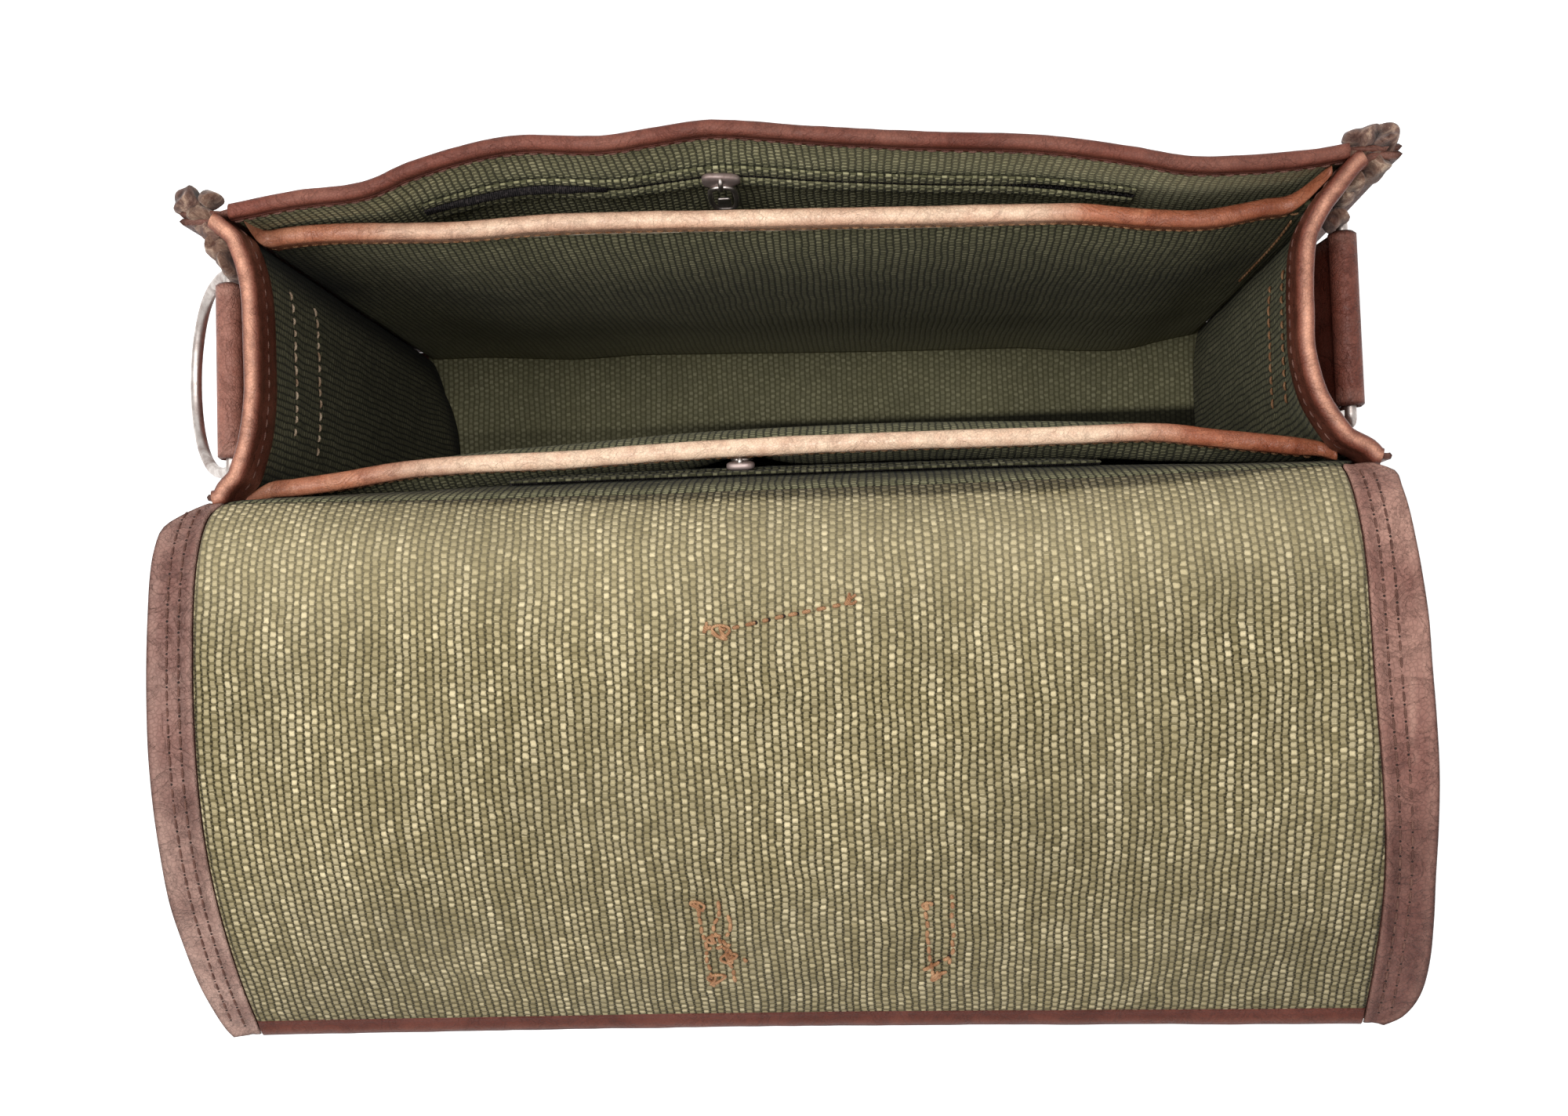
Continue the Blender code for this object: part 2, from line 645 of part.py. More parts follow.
def side_tab(side, word, middle_y, half_w, loop_x, swing):
    """A leather loop sewn to a gusset, and the D-ring that turns in it."""
    places = [y for y in GUSSET_Y if abs(y) < 0.026]
    places = [middle_y - half_w] + places + [middle_y + half_w]
    grid = [tab_path(side, y, loop_x) for y in places]
    sheet("side_tab_" + word, grid, normals_of(grid), -TAB_T / 2, TAB_T / 2, "leather")
    axis = Vector((side * loop_x, middle_y, LOOP_Z))
    corner = 0.0028
    outline = [(y, 0.0) for y in (-RING_HALF_W + corner, 0.0, RING_HALF_W - corner)]
    outline.append((RING_HALF_W - 0.3 * corner, 0.3 * corner))
    outline.append((RING_HALF_W, corner))
    bow = RING_DROP - corner
    for k in range(1, 12):
        angle = math.pi * k / 12
        outline.append((RING_HALF_W * math.cos(angle), corner + bow * math.sin(angle) ** 0.8))
    outline.append((-RING_HALF_W, corner))
    outline.append((-RING_HALF_W + 0.3 * corner, 0.3 * corner))
    down = Vector((side * math.sin(math.radians(swing)), 0, -math.cos(math.radians(swing))))
    across = Vector((0, 1, 0))
    sideways = across.cross(down)
    stations = []
    for k, (y, drop) in enumerate(outline):
        after = outline[(k + 1) % len(outline)]
        before = outline[k - 1]
        tangent = across * (after[0] - before[0]) + down * (after[1] - before[1])
        normal = tangent.normalized().cross(sideways)
        stations.append((across * y + down * drop, sideways, normal))
    section = []
    for k in range(8):
        angle = 2 * math.pi * (k + 0.5) / 8
        section.append((RING_WIRE_R * math.cos(angle), RING_WIRE_R * math.sin(angle)))
    ring = sweep("ring_" + word, stations, section, "nickel", closed=True)
    ring.location = axis
    return ring


side_tab(-1, "left", -0.0010, 0.0310, 0.1960, 38.0)
side_tab(1, "right", 0.0020, 0.0300, 0.1900, 7.0)

# The middle of the footprint goes to the origin
bpy.context.view_layer.update()
lows = Vector((1e9, 1e9, 1e9))
highs = Vector((-1e9, -1e9, -1e9))
for made in bag.children:
    for vert in made.data.vertices:
        place = made.matrix_world @ vert.co
        lows = Vector(map(min, lows, place))
        highs = Vector(map(max, highs, place))
bag.location = (-(lows.x + highs.x) / 2, -(lows.y + highs.y) / 2, -lows.z)
bpy.context.view_layer.update()
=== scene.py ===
"""Looks of the leather messenger bag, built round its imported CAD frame.

Lengths are in metres. Shapes are worked out in the bag's own coordinates, whose origin is the
middle of its base, and SHIFT brings them into the frame. Walls are dense sheets that lie off the
same reference faces as the CAD walls, so leather, canvas and bindings stay a gap apart.
"""

import math

import bpy
import numpy as np
from mathutils import Euler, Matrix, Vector, noise


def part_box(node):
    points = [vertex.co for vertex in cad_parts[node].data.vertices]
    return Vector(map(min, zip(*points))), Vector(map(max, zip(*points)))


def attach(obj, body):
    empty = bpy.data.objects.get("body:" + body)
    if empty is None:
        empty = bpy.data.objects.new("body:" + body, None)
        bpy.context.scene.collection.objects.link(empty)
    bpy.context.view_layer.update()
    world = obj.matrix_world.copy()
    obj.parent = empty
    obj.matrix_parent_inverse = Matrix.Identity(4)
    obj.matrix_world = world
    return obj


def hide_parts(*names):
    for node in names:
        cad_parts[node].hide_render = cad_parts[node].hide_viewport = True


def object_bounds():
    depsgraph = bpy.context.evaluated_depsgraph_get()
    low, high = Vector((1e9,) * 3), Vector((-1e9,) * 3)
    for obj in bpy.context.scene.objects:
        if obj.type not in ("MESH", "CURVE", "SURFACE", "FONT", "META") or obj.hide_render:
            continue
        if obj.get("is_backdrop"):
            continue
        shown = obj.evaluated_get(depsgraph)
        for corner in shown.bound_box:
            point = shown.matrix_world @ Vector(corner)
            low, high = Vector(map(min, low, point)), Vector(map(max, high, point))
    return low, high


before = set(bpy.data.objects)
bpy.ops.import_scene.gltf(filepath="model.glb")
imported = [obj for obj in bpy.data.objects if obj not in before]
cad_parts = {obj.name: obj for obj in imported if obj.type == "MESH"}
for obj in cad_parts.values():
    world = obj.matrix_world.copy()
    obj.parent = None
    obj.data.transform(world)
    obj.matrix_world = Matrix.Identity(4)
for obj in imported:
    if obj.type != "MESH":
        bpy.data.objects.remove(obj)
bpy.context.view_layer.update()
base_low, base_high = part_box("base_panel")
SHIFT = np.array([(base_low.x + base_high.x) / 2, (base_low.y + base_high.y) / 2, 0.0])
RANDOM = np.random.default_rng(11)

# The CAD's sizes and tables
HALF_W, HALF_D, BAG_H, SEAM_W = 0.190, 0.0483, 0.270, 0.0145
HIDE, CLOTH, GAP = 0.0022, 0.0010, 0.0003
LINING = GAP + CLOTH
LINING_FOOT = HIDE + GAP + CLOTH + GAP
RIM_FOOT, DIVIDER_T, POCKET_END = 0.2575, 0.0020, 0.0007
ZIP_H, ZIP_T = 0.0085, 0.0013
STRIP_HIGH = GAP + 0.0015
TAB_T, LOOP_Z, LOOP_R = 0.0020, 0.2465, 0.0028
RING_WIRE_R, RING_HALF_W, RING_DROP = 0.0020, 0.0350, 0.0400
TAB_ROWS = (0.184, 0.190, 0.205, 0.220)
WALL_Z = (0.0, 0.050, 0.100, 0.150, 0.190, 0.220, 0.240, RIM_FOOT, BAG_H)
BACK_COLUMNS = 11
WARP, WEFT = 0.0025, 0.00134

FRONT_RIM = (  # place along the bag, bulge of the rim
    (-0.190, 0.0000), (-0.165, 0.0040), (-0.141, 0.0062), (-0.124, 0.0125), (-0.102, 0.0180),
    (-0.086, 0.0196), (-0.060, 0.0182), (-0.042, 0.0202), (-0.022, 0.0220), (0.012, 0.0182),
    (0.050, 0.0146), (0.085, 0.0120), (0.115, 0.0070), (0.135, 0.0026), (0.155, 0.0020),
    (0.175, 0.0030), (0.190, 0.0050),
)
BACK_WALL = (  # height, sag in the middle, sag at the sides
    (0.000, 0.0000, 0.0000), (0.050, 0.0008, 0.0000), (0.120, 0.0028, 0.0000),
    (0.180, 0.0043, 0.0000), (0.220, 0.0048, 0.0000), (0.240, 0.0036, 0.0000),
    (0.255, 0.0004, -0.0002), (0.270, -0.0046, -0.0026),
)
GUSSET_BOW = (  # place across, share of the bow
    (-0.048, 0.00), (-0.041, 0.40), (-0.033, 0.68), (-0.025, 0.87), (-0.012, 1.00), (0.000, 1.00),
    (0.012, 0.98), (0.025, 0.90), (0.033, 0.72), (0.041, 0.42), (0.048, 0.00),
)
GUSSET_INWARD = (  # height, left, right
    (0.000, 0.0110, 0.0050), (0.050, 0.0105, 0.0055), (0.100, 0.0095, 0.0060),
    (0.150, 0.0090, 0.0065), (0.190, 0.0088, 0.0075), (0.220, 0.0092, 0.0110),
    (0.240, 0.0098, 0.0155), (RIM_FOOT, 0.0105, 0.0200), (BAG_H, 0.0105, 0.0200),
)
DIVIDER_TOP = (  # place along the bag, front divider, back divider
    (-0.186, 0.0450, -0.0438), (-0.160, 0.0462, -0.0413), (-0.138, 0.0456, -0.0382),
    (-0.115, 0.0450, -0.0370), (-0.082, 0.0462, -0.0367), (-0.040, 0.0456, -0.0351),
    (0.000, 0.0446, -0.0344), (0.042, 0.0436, -0.0342), (0.080, 0.0428, -0.0344),
    (0.105, 0.0420, -0.0344), (0.132, 0.0390, -0.0346), (0.152, 0.0382, -0.0375),
    (0.170, 0.0410, -0.0400), (0.186, 0.0429, -0.0425),
)
DIVIDER_FALL = (  # height, fall of the front divider, of the back divider
    (0.0000, -0.0035, -0.0050), (0.0500, -0.0030, 0.0015), (0.1100, -0.0065, 0.0090),
    (0.1600, -0.0070, 0.0115), (0.2000, -0.0055, 0.0112), (0.2250, -0.0028, 0.0080),
    (0.2350, -0.0010, 0.0042), (0.2410, 0.0000, 0.0000), (0.2490, 0.0000, 0.0000),
)
FLAP = (  # way along, slope left, middle, right, left edge, left seam, right seam, right edge
    (0.000, 62, 62, 62, -0.1945, -0.1900, 0.1800, 0.1895),
    (0.006, 52, 52, 52, -0.2006, -0.1925, 0.1800, 0.1953),
    (0.013, 41.5, 41, 41, -0.2066, -0.1930, 0.1800, 0.1955),
    (0.021, 29, 27.5, 28, -0.2077, -0.1930, 0.1800, 0.1958),
    (0.030, 16, 14.5, 15, -0.2078, -0.1930, 0.1803, 0.1962),
    (0.042, 6.5, 4.5, 5, -0.2077, -0.1930, 0.1806, 0.1972),
    (0.056, 1.5, -0.5, 0, -0.2079, -0.1930, 0.1808, 0.1984),
    (0.072, 0, -3, -2, -0.2080, -0.1930, 0.1812, 0.1989),
    (0.089, -8.5, -11, -9, -0.2081, -0.1930, 0.1822, 0.1999),
    (0.106, -15.5, -17.5, -15, -0.2082, -0.1932, 0.1838, 0.2010),
    (0.124, -25, -26, -21.5, -0.2085, -0.1935, 0.1855, 0.2017),
    (0.142, -31.5, -33, -27.5, -0.2091, -0.1938, 0.1868, 0.2024),
    (0.160, -35.5, -37, -31.5, -0.2086, -0.1940, 0.1875, 0.2038),
    (0.178, -39.5, -41, -35.5, -0.2079, -0.1942, 0.1878, 0.2048),
    (0.193, -42.5, -43.5, -37.5, -0.2066, -0.1943, 0.1880, 0.2039),
    (0.203, -43.5, -45, -39.5, -0.2052, -0.1943, 0.1880, 0.2000),
    (0.2085, -44.5, -45.5, -40.5, -0.2036, -0.1943, 0.1880, 0.1945),
)
BACK_BULGE = (  # height, share of the bulge that leans on the back wall
    (0.195, 0.00), (0.205, 0.35), (0.213, 0.80), (0.220, 1.00), (0.226, 0.98), (0.230, 0.84),
    (0.236, 0.50), (0.2405, 0.08), (0.242, 0.00), (0.249, 0.00),
)
LINING_SEAMS = {  # height, least and greatest Y
    "left": ((0.2290, -0.026, 0.031), (0.2000, -0.030, 0.031)),
    "right": ((0.2000, -0.020, 0.030), (0.1730, -0.020, 0.030)),
}
STITCH = (  # share of the length, share of the radius, rise
    (0.0, 0.30, -0.6), (0.12, 0.85, 0.3), (0.5, 1.0, 1.0), (0.88, 0.85, 0.3), (1.0, 0.30, -0.6),
)
DIMPLE = ((1.0, -0.10), (0.85, 0.10), (0.45, 0.14))  # share of the radius, height
BRIDGE = (  # way down a zip's slider, height over it
    (-0.0030, 0.0006), (-0.0026, 0.0019), (-0.0012, 0.0027), (0.0006, 0.0028), (0.0020, 0.0021),
    (0.0026, 0.0008),
)
UP = np.array([0.0, 0.0, 1.0])
FORE = np.array([0.0, 1.0, 0.0])


# Materials
class Wire:
    """A shader node's output. Arithmetic on wires adds Math nodes to their tree."""

    def __init__(self, socket):
        self.socket, self.tree = socket, socket.id_data

    def math(self, operation, *others, clamp=False):
        values = dict(enumerate((self, *others)))
        return node(self.tree, "Math", values, operation=operation, use_clamp=clamp)

    def __add__(self, other):
        return self.math("ADD", other)

    def __sub__(self, other):
        return self.math("SUBTRACT", other)

    def __rsub__(self, other):
        return node(self.tree, "Math", {0: other, 1: self}, operation="SUBTRACT")

    def __mul__(self, other):
        return self.math("MULTIPLY", other)

    def __truediv__(self, other):
        return self.math("DIVIDE", other)

    def __abs__(self):
        return self.math("ABSOLUTE")


def node(tree, kind, inputs, output=0, **props):
    """A shader node's output. Inputs go by socket name or number, and a tuple is a colour."""
    made = tree.nodes.new("ShaderNode" + kind)
    for key, value in props.items():
        setattr(made, key, value)
    for key, value in inputs.items():
        if isinstance(value, Wire):
            tree.links.new(value.socket, made.inputs[key])
        else:
            made.inputs[key].default_value = (*value, 1.0) if isinstance(value, tuple) else value
    return Wire(made.outputs[output])


def blended(share, first, second, kind="MIX"):
    tree = next(value.tree for value in (share, first) if isinstance(value, Wire))
    return node(tree, "Mix", {0: share, 6: first, 7: second}, 2, data_type="RGBA", blend_type=kind)


def shaded(colour, share):
    grey = node(share.tree, "CombineColor", {0: share, 1: share, 2: share})
    return blended(1.0, colour, grey, "MULTIPLY")


def ranged(value, low, high, to_low=0.0, to_high=1.0, kind="LINEAR"):
    values = dict(enumerate((value, low, high, to_low, to_high)))
    return node(value.tree, "MapRange", values, interpolation_type=kind)


def cloud(where, scale, detail=3.0, rough=0.55, distortion=0.0):
    return node(where.tree, "TexNoise", {"Vector": where, "Scale": scale, "Detail": detail,
                                         "Roughness": rough, "Distortion": distortion}, "Fac")


def ribbed(where, scale, distortion, direction):
    return node(where.tree, "TexWave", {"Vector": where, "Scale": scale, "Distortion": distortion},
                "Fac", bands_direction=direction)


def scatter(where, dimensions, **inputs):
    return node(where.tree, "TexWhiteNoise", inputs, "Value", noise_dimensions=dimensions)


def attribute(where, name):
    return node(where.tree, "Attribute", {}, "Fac", attribute_name=name)


def new_material(name, space="Object", **settings):
    """A material and its texture coordinates. Settings are Principled inputs."""
    made = bpy.data.materials.new(name)
    made.use_nodes = True
    for key, value in settings.items():
        made.node_tree.nodes["Principled BSDF"].inputs[key.replace("_", " ")].default_value = value
    return made, node(made.node_tree, "TexCoord", {}, space)


def finished(made, colour, bumps=(), rough=None):
    """The material with its colour, its roughness and a chain of bumps of height, depth and strength."""
    below = None
    for height, depth, strength in bumps:
        inputs = {"Strength": strength, "Distance": depth, "Height": height}
        if below:
            inputs["Normal"] = below
        below = node(made.node_tree, "Bump", inputs)
    for key, wire in (("Base Color", colour), ("Roughness", rough), ("Normal", below)):
        if wire:
            made.node_tree.links.new(wire.socket, made.node_tree.nodes["Principled BSDF"].inputs[key])
    return made


def leather(name, dark, mid, light, wear_and_highlight, roughness=0.48, grain=720.0, depth=0.00016, haze=0.3,
            specular=0.22):
    """Pull-up leather: cloudy colour, pebbled grain, creases with painted shade, paler where it is worn or a
    highlight is painted, darker where dirt or shade is painted.
    """
    made, where = new_material(name, Specular_IOR_Level=specular)
    small = cloud(where, 190.0, 4.0, 0.65)
    cells = node(where.tree, "TexVoronoi", {"Vector": where, "Scale": grain}, "Distance",
                 feature="DISTANCE_TO_EDGE")
    pebble = ranged(cells, 0.0, 0.16, kind="SMOOTHSTEP")
    crease = ranged(abs(cloud(where, 75.0, 5.0, 0.6, 1.6) - 0.5), 0.0, 0.035, kind="SMOOTHSTEP")
    tone = cloud(where, 26.0, 4.0, 0.6, 0.5) * 0.65 + small * 0.35
    colour = blended(ranged(tone, 0.50, 0.66), blended(ranged(tone, 0.36, 0.52), dark, mid), light)
    hazed = ranged(cloud(where, 48.0, 5.0, 0.7), 0.42, 0.68) * haze
    # wear or a painted highlight pales the colour towards the fourth colour
    wear_and_highlight_mask = attribute(where, "wear_and_highlight") * ranged(small, 0.30, 0.62, 0.6, 1.0)
    colour = blended(wear_and_highlight_mask, blended(hazed, colour, wear_and_highlight), wear_and_highlight)
    # painted shade in the grain's pits and creases, deepened where dirt or shade is painted
    painted_shade_and_dirt = ranged(pebble, 0.0, 1.0, 0.80, 1.0) * ranged(crease, 0.0, 1.0, 0.86, 1.0)
    painted_shade_and_dirt = painted_shade_and_dirt * ranged(attribute(where, "dirt_and_painted_shade"), 0.0, 1.0, 1.0, 0.34)
    rough = ranged(small, 0.3, 0.7, -0.07, 0.09) + roughness + hazed * 0.25
    relief = pebble * 0.55 + cloud(where, 1500.0, 2.0) * 0.35
    bumps = ((relief, depth, 0.8), (crease, depth * 2.2, 0.6), (small, 0.0006, 0.5))
    return finished(made, shaded(colour, painted_shade_and_dirt), bumps, rough)


def canvas(name, gap, weft, warp, bright, slub=0.5, depth=0.00042):
    """Plain weave on UVs in metres, whose warp yarns and weft picks lie WARP and WEFT apart."""
    made, where = new_material(name, "UV", Roughness=0.93, Specular_IOR_Level=0.10,
                               Sheen_Weight=0.04, Sheen_Roughness=0.6)
    fray = cloud(where, 420.0, 2.0) - 0.5
    cells = []
    for axis, scale, drift, frayed, pitch in ((0, 30.0, 0.0035, 0.0011, WARP),
                                              (1, 41.0, 0.0030, 0.0009, WEFT)):
        place = node(where.tree, "SeparateXYZ", {0: where}, axis)
        place = place + (cloud(where, scale, 2.0) - 0.5) * drift + fray * frayed
        yarns = place / pitch + 1000.0
        cells.append((yarns.math("FLOOR"), yarns.math("FRACT")))
    (column, part_u), (pick, part_v) = cells
    sign = (column + pick).math("MODULO", 2.0).math("MULTIPLY_ADD", -1.0, 0.5)
    wave_u, wave_v = ((part * math.pi).math("SINE") * sign for part in (part_u, part_v))
    warp_up = ranged(abs(part_u - 0.5), 0.48, 0.19, kind="SMOOTHSTEP") * (wave_v + 0.70)
    weft_up = ranged(abs(part_v - 0.5), 0.43, 0.15, kind="SMOOTHSTEP") * (0.32 - wave_u)
    over = ranged(warp_up - weft_up, -0.05, 0.05)
    height = warp_up.math("MAXIMUM", weft_up)
    yarn = scatter(where, "1D", W=column)
    stretch = (yarn.math("MULTIPLY_ADD", 31.0, pick) / 7.0).math("FLOOR")
    thick, speck = (scatter(where, "2D", Vector=node(where.tree, "CombineXYZ", {0: column, 1: row}))
                    for row in (stretch, pick))
    lift = ranged(thick, 0.55, 1.0, 0.0, slub) + speck.math("POWER", 4.0) * 0.34 + yarn * 0.25
    lit = lift.math("MULTIPLY", over.math("MULTIPLY_ADD", 0.8, 0.2), clamp=True)
    fuzz = ranged(cloud(where, 2600.0, 2.0), 0.25, 0.75, 0.80, 1.14)
    fade = ranged(cloud(where, 14.0, 4.0, 0.6), 0.32, 0.68, 0.86, 1.12)
    tint = fuzz * fade * (speck * over).math("MULTIPLY_ADD", 0.34, 0.84)
    # painted shade: yarns darker where they sink lower, and darker where dirt or shade is painted
    tint = tint * ranged(height, 0.30, 1.10, 0.84, 1.14) * (1.0 - attribute(where, "dirt_and_painted_shade"))
    # the gap colour shows between the yarns as the weave's painted shade
    solid = ranged(height, 0.10, 0.50, kind="SMOOTHSTEP")
    colour = blended(solid, gap, blended(lit, blended(over, weft, warp), bright))
    # paler towards the bright colour where wear or painted light is marked
    colour = blended(attribute(where, "wear_and_highlight"), shaded(colour, tint), bright)
    return finished(made, colour, ((height, depth, 0.9), (cloud(where, 1800.0, 2.0), 0.0001, 0.6)))


def suede(name, dark, mid, light):
    """Raw flesh side and torn ends of the leather."""
    made, where = new_material(name, Roughness=0.96, Specular_IOR_Level=0.12, Sheen_Weight=0.2)
    patch = cloud(where, 170.0, 4.0, 0.7, 0.8)
    hair = cloud(where, 1900.0, 4.0, 0.7)
    colour = blended(ranged(patch, 0.52, 0.66), blended(ranged(patch, 0.36, 0.50), dark, mid), light)
    shade = ranged(hair, 0.25, 0.75, 0.70, 1.20) * (1.0 - attribute(where, "dirt_and_painted_shade"))
    return finished(made, shaded(colour, shade), ((hair, 0.0003, 0.9), (patch, 0.0008, 0.7)))


def thread(name, dark, light):
    made, where = new_material(name, Roughness=0.7, Specular_IOR_Level=0.3)
    ply = ribbed(where, 700.0, 1.0, "DIAGONAL")
    colour = blended(ranged(cloud(where, 260.0, 3.0), 0.35, 0.65), dark, light)
    # painted shade in the grooves between the plies
    return finished(made, shaded(colour, ranged(ply, 0.0, 1.0, 0.7, 1.1)), ((ply, 0.0002, 0.7),))


def metal(name, bright, tarnish, roughness, metallic=1.0):
    made, where = new_material(name, Metallic=metallic)
    share = ranged(cloud(where, 120.0, 5.0, 0.65, 0.4), 0.42, 0.66)
    return finished(made, blended(share, bright, tarnish), ((cloud(where, 900.0, 3.0), 0.00005, 0.5),),
                    share.math("MULTIPLY_ADD", 0.22, roughness))


def tape(name):
    made, where = new_material(name, Roughness=0.9, Specular_IOR_Level=0.12)
    ribs = ribbed(where, 420.0, 1.5, "X")
    lint = ranged(cloud(where, 900.0, 4.0, 0.7), 0.50, 0.72)
    colour = blended(ribs, (0.006, 0.005, 0.005), (0.026, 0.023, 0.024))
    return finished(made, blended(lint, colour, (0.085, 0.070, 0.068)), ((ribs, 0.0003, 0.8),))


# Each leather's fourth colour shows where it is worn and where a highlight is painted.
LOOKS = {
    "panel": leather("panel_leather", (0.070, 0.023, 0.015), (0.125, 0.044, 0.030),
                     (0.185, 0.076, 0.054), (0.270, 0.140, 0.106), 0.46, haze=0.20),
    "margin": leather("margin_leather", (0.115, 0.050, 0.040), (0.172, 0.080, 0.064),
                      (0.230, 0.113, 0.090), (0.440, 0.280, 0.228), 0.52, 640.0, 0.00022, 0.35),
    "margin_right": leather("margin_right_leather", (0.115, 0.042, 0.032), (0.172, 0.068, 0.053),
                            (0.230, 0.098, 0.077), (0.440, 0.250, 0.195), 0.52, 640.0, 0.00022),
    "rim": leather("rim_leather", (0.084, 0.019, 0.012), (0.142, 0.036, 0.022),
                   (0.215, 0.066, 0.041), (0.740, 0.370, 0.245), 0.34, 900.0, 0.00010, 0.03),
    "front_rim": leather("front_rim_leather", (0.088, 0.019, 0.011), (0.140, 0.034, 0.021),
                         (0.190, 0.053, 0.034), (0.310, 0.140, 0.098), 0.50, 900.0, 0.00010, 0.04),
    "divider_rim": leather("divider_rim_leather", (0.225, 0.056, 0.026), (0.400, 0.126, 0.062),
                           (0.530, 0.210, 0.115), (0.860, 0.620, 0.440), 0.30, 900.0, 0.00008, 0.04,
                           0.30),
    "tab": leather("tab_leather", (0.118, 0.026, 0.016), (0.196, 0.046, 0.028),
                   (0.262, 0.076, 0.049), (0.420, 0.225, 0.172), 0.42, haze=0.12, specular=0.18),
    "flap_canvas": canvas("flap_canvas", (0.042, 0.034, 0.014), (0.176, 0.142, 0.064),
                          (0.288, 0.236, 0.123), (0.560, 0.475, 0.295)),
    "inner_canvas": canvas("inner_canvas", (0.030, 0.030, 0.014), (0.122, 0.118, 0.058),
                           (0.248, 0.235, 0.126), (0.450, 0.420, 0.250), 0.45),
    "wall_canvas": canvas("wall_canvas", (0.046, 0.045, 0.022), (0.118, 0.113, 0.057),
                          (0.196, 0.186, 0.100), (0.340, 0.316, 0.186), 0.40, 0.00026),
    "floor_canvas": canvas("floor_canvas", (0.135, 0.125, 0.067), (0.162, 0.150, 0.082),
                           (0.185, 0.172, 0.097), (0.232, 0.217, 0.134), 0.25, 0.00012),
    "suede": suede("raw_suede", (0.085, 0.038, 0.026), (0.205, 0.120, 0.084), (0.500, 0.360, 0.260)),
    "rind": suede("torn_rind", (0.055, 0.024, 0.018), (0.150, 0.082, 0.062), (0.380, 0.250, 0.180)),
    "raw_edge": suede("raw_edge", (0.400, 0.260, 0.160), (0.620, 0.480, 0.340), (0.780, 0.680, 0.540)),
    "thread": thread("orange_thread", (0.270, 0.115, 0.048), (0.520, 0.290, 0.150)),
    "pale_thread": thread("pale_thread", (0.330, 0.210, 0.130), (0.620, 0.480, 0.340)),
    "brown_thread": thread("brown_thread", (0.090, 0.036, 0.026), (0.180, 0.085, 0.062)),
    "hole": thread("needle_hole", (0.010, 0.004, 0.003), (0.030, 0.014, 0.010)),
    "nickel": metal("dull_nickel", (0.66, 0.60, 0.56), (0.34, 0.27, 0.245), 0.36),
    "slider": metal("worn_slider", (0.400, 0.310, 0.285), (0.220, 0.145, 0.128), 0.45, 0.6),
    "tape": tape("zip_tape_cloth"),
}


# Mesh makers
def piece(name, points, faces, look, replaces=(), slot=None, body="bag", uv=None, floats=None):
    """A mesh piece that rides on a body, with UVs and named values at its points."""
    mesh = bpy.data.meshes.new(name)
    mesh.from_pydata((np.asarray(points) + SHIFT).tolist(), [], faces)
    if uv is not None:
        layer = mesh.uv_layers.new(name="metres")
        corners = np.empty(len(mesh.loops), int)
        mesh.loops.foreach_get("vertex_index", corners)
        layer.data.foreach_set("uv", np.asarray(uv, float)[corners].ravel())
    for key, values in (floats or {}).items():
        named = mesh.attributes.new(key, "FLOAT", "POINT")
        named.data.foreach_set("value", np.asarray(values, float).ravel())
    mesh.shade_smooth()
    mesh.materials.append(LOOKS[look])
    made = bpy.data.objects.new(name, mesh)
    bpy.context.scene.collection.objects.link(made)
    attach(made, body)
    if replaces:
        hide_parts(*replaces)
    return made


def unit(ways):
    return ways / np.maximum(np.linalg.norm(ways, axis=-1, keepdims=True), 1e-12)


def slopes_of(keys, values):
    keys = keys.reshape((-1,) + (1,) * (values.ndim - 1))
    pairs = ((slice(1, 2), slice(0, 1)), (slice(2, None), slice(None, -2)), (slice(-1, None), slice(-2, -1)))
    return np.concatenate([(values[b] - values[a]) / (keys[b] - keys[a]) for b, a in pairs])


def smooth(t, step, first, second, slope, next_slope):
    """A share t of the way along a smooth curve from one value to the next, a step further."""
    return (first * (2 * t**3 - 3 * t**2 + 1) + slope * step * (t**3 - 2 * t**2 + t)
            + second * (3 * t**2 - 2 * t**3) + next_slope * step * (t**3 - t**2))


def through(rows, column, at):
    """Value of a table's column at places along its first column, on a smooth curve."""
    rows = np.asarray(rows, float)
    keys, values = rows[:, 0], rows[:, column]
    slopes = slopes_of(keys, values)
    at = bound(at, keys[0], keys[-1])
    i = bound(np.searchsorted(keys, at, side="right") - 1, 0, len(keys) - 2)
    step = keys[i + 1] - keys[i]
    return smooth((at - keys[i]) / step, step, values[i], values[i + 1], slopes[i], slopes[i + 1])


def refine(grid, step, axis=0):
    """A grid made finer on smooth curves through its rows, and the new numbers of those rows."""
    grid = np.moveaxis(np.asarray(grid, float), axis, 0)
    gaps = np.linalg.norm(np.diff(grid, axis=0), axis=-1).reshape(len(grid) - 1, -1)
    run = np.concatenate([[0.0], np.cumsum(gaps.mean(1) + 1e-9)])
    slopes = slopes_of(run, grid)
    made, places = [], []
    for i in range(len(grid) - 1):
        count = max(1, math.ceil(gaps[i].max() / step))
        places.append(len(made))
        made += [smooth(k / count, run[i + 1] - run[i], grid[i], grid[i + 1], slopes[i], slopes[i + 1])
                 for k in range(count)]
    places.append(len(made))
    made.append(grid[-1])
    return np.moveaxis(np.array(made), 0, axis), places


def refined_line(points, step):
    return refine(np.array(points)[:, None], step)[0][:, 0]


def normals(grid, towards):
    ways = unit(np.cross(np.gradient(grid, axis=1), np.gradient(grid, axis=0)))
    middle = ways[0, ways.shape[1] // 2]
    return ways if middle @ np.asarray(towards) > 0 else -ways


def lengths(grid, axis):
    """Running length along an axis of a grid, the mean over the other one."""
    steps = np.linalg.norm(np.diff(grid, axis=axis), axis=-1).mean(axis=1 - axis)
    return np.concatenate([[0.0], np.cumsum(steps)])


def near(value, middle, width):
    """A bell of height 1 round a middle."""
    return np.exp(-((value - middle) / width) ** 2)


def bound(value, low=0.0, high=1.0):
    return np.clip(value, low, high)


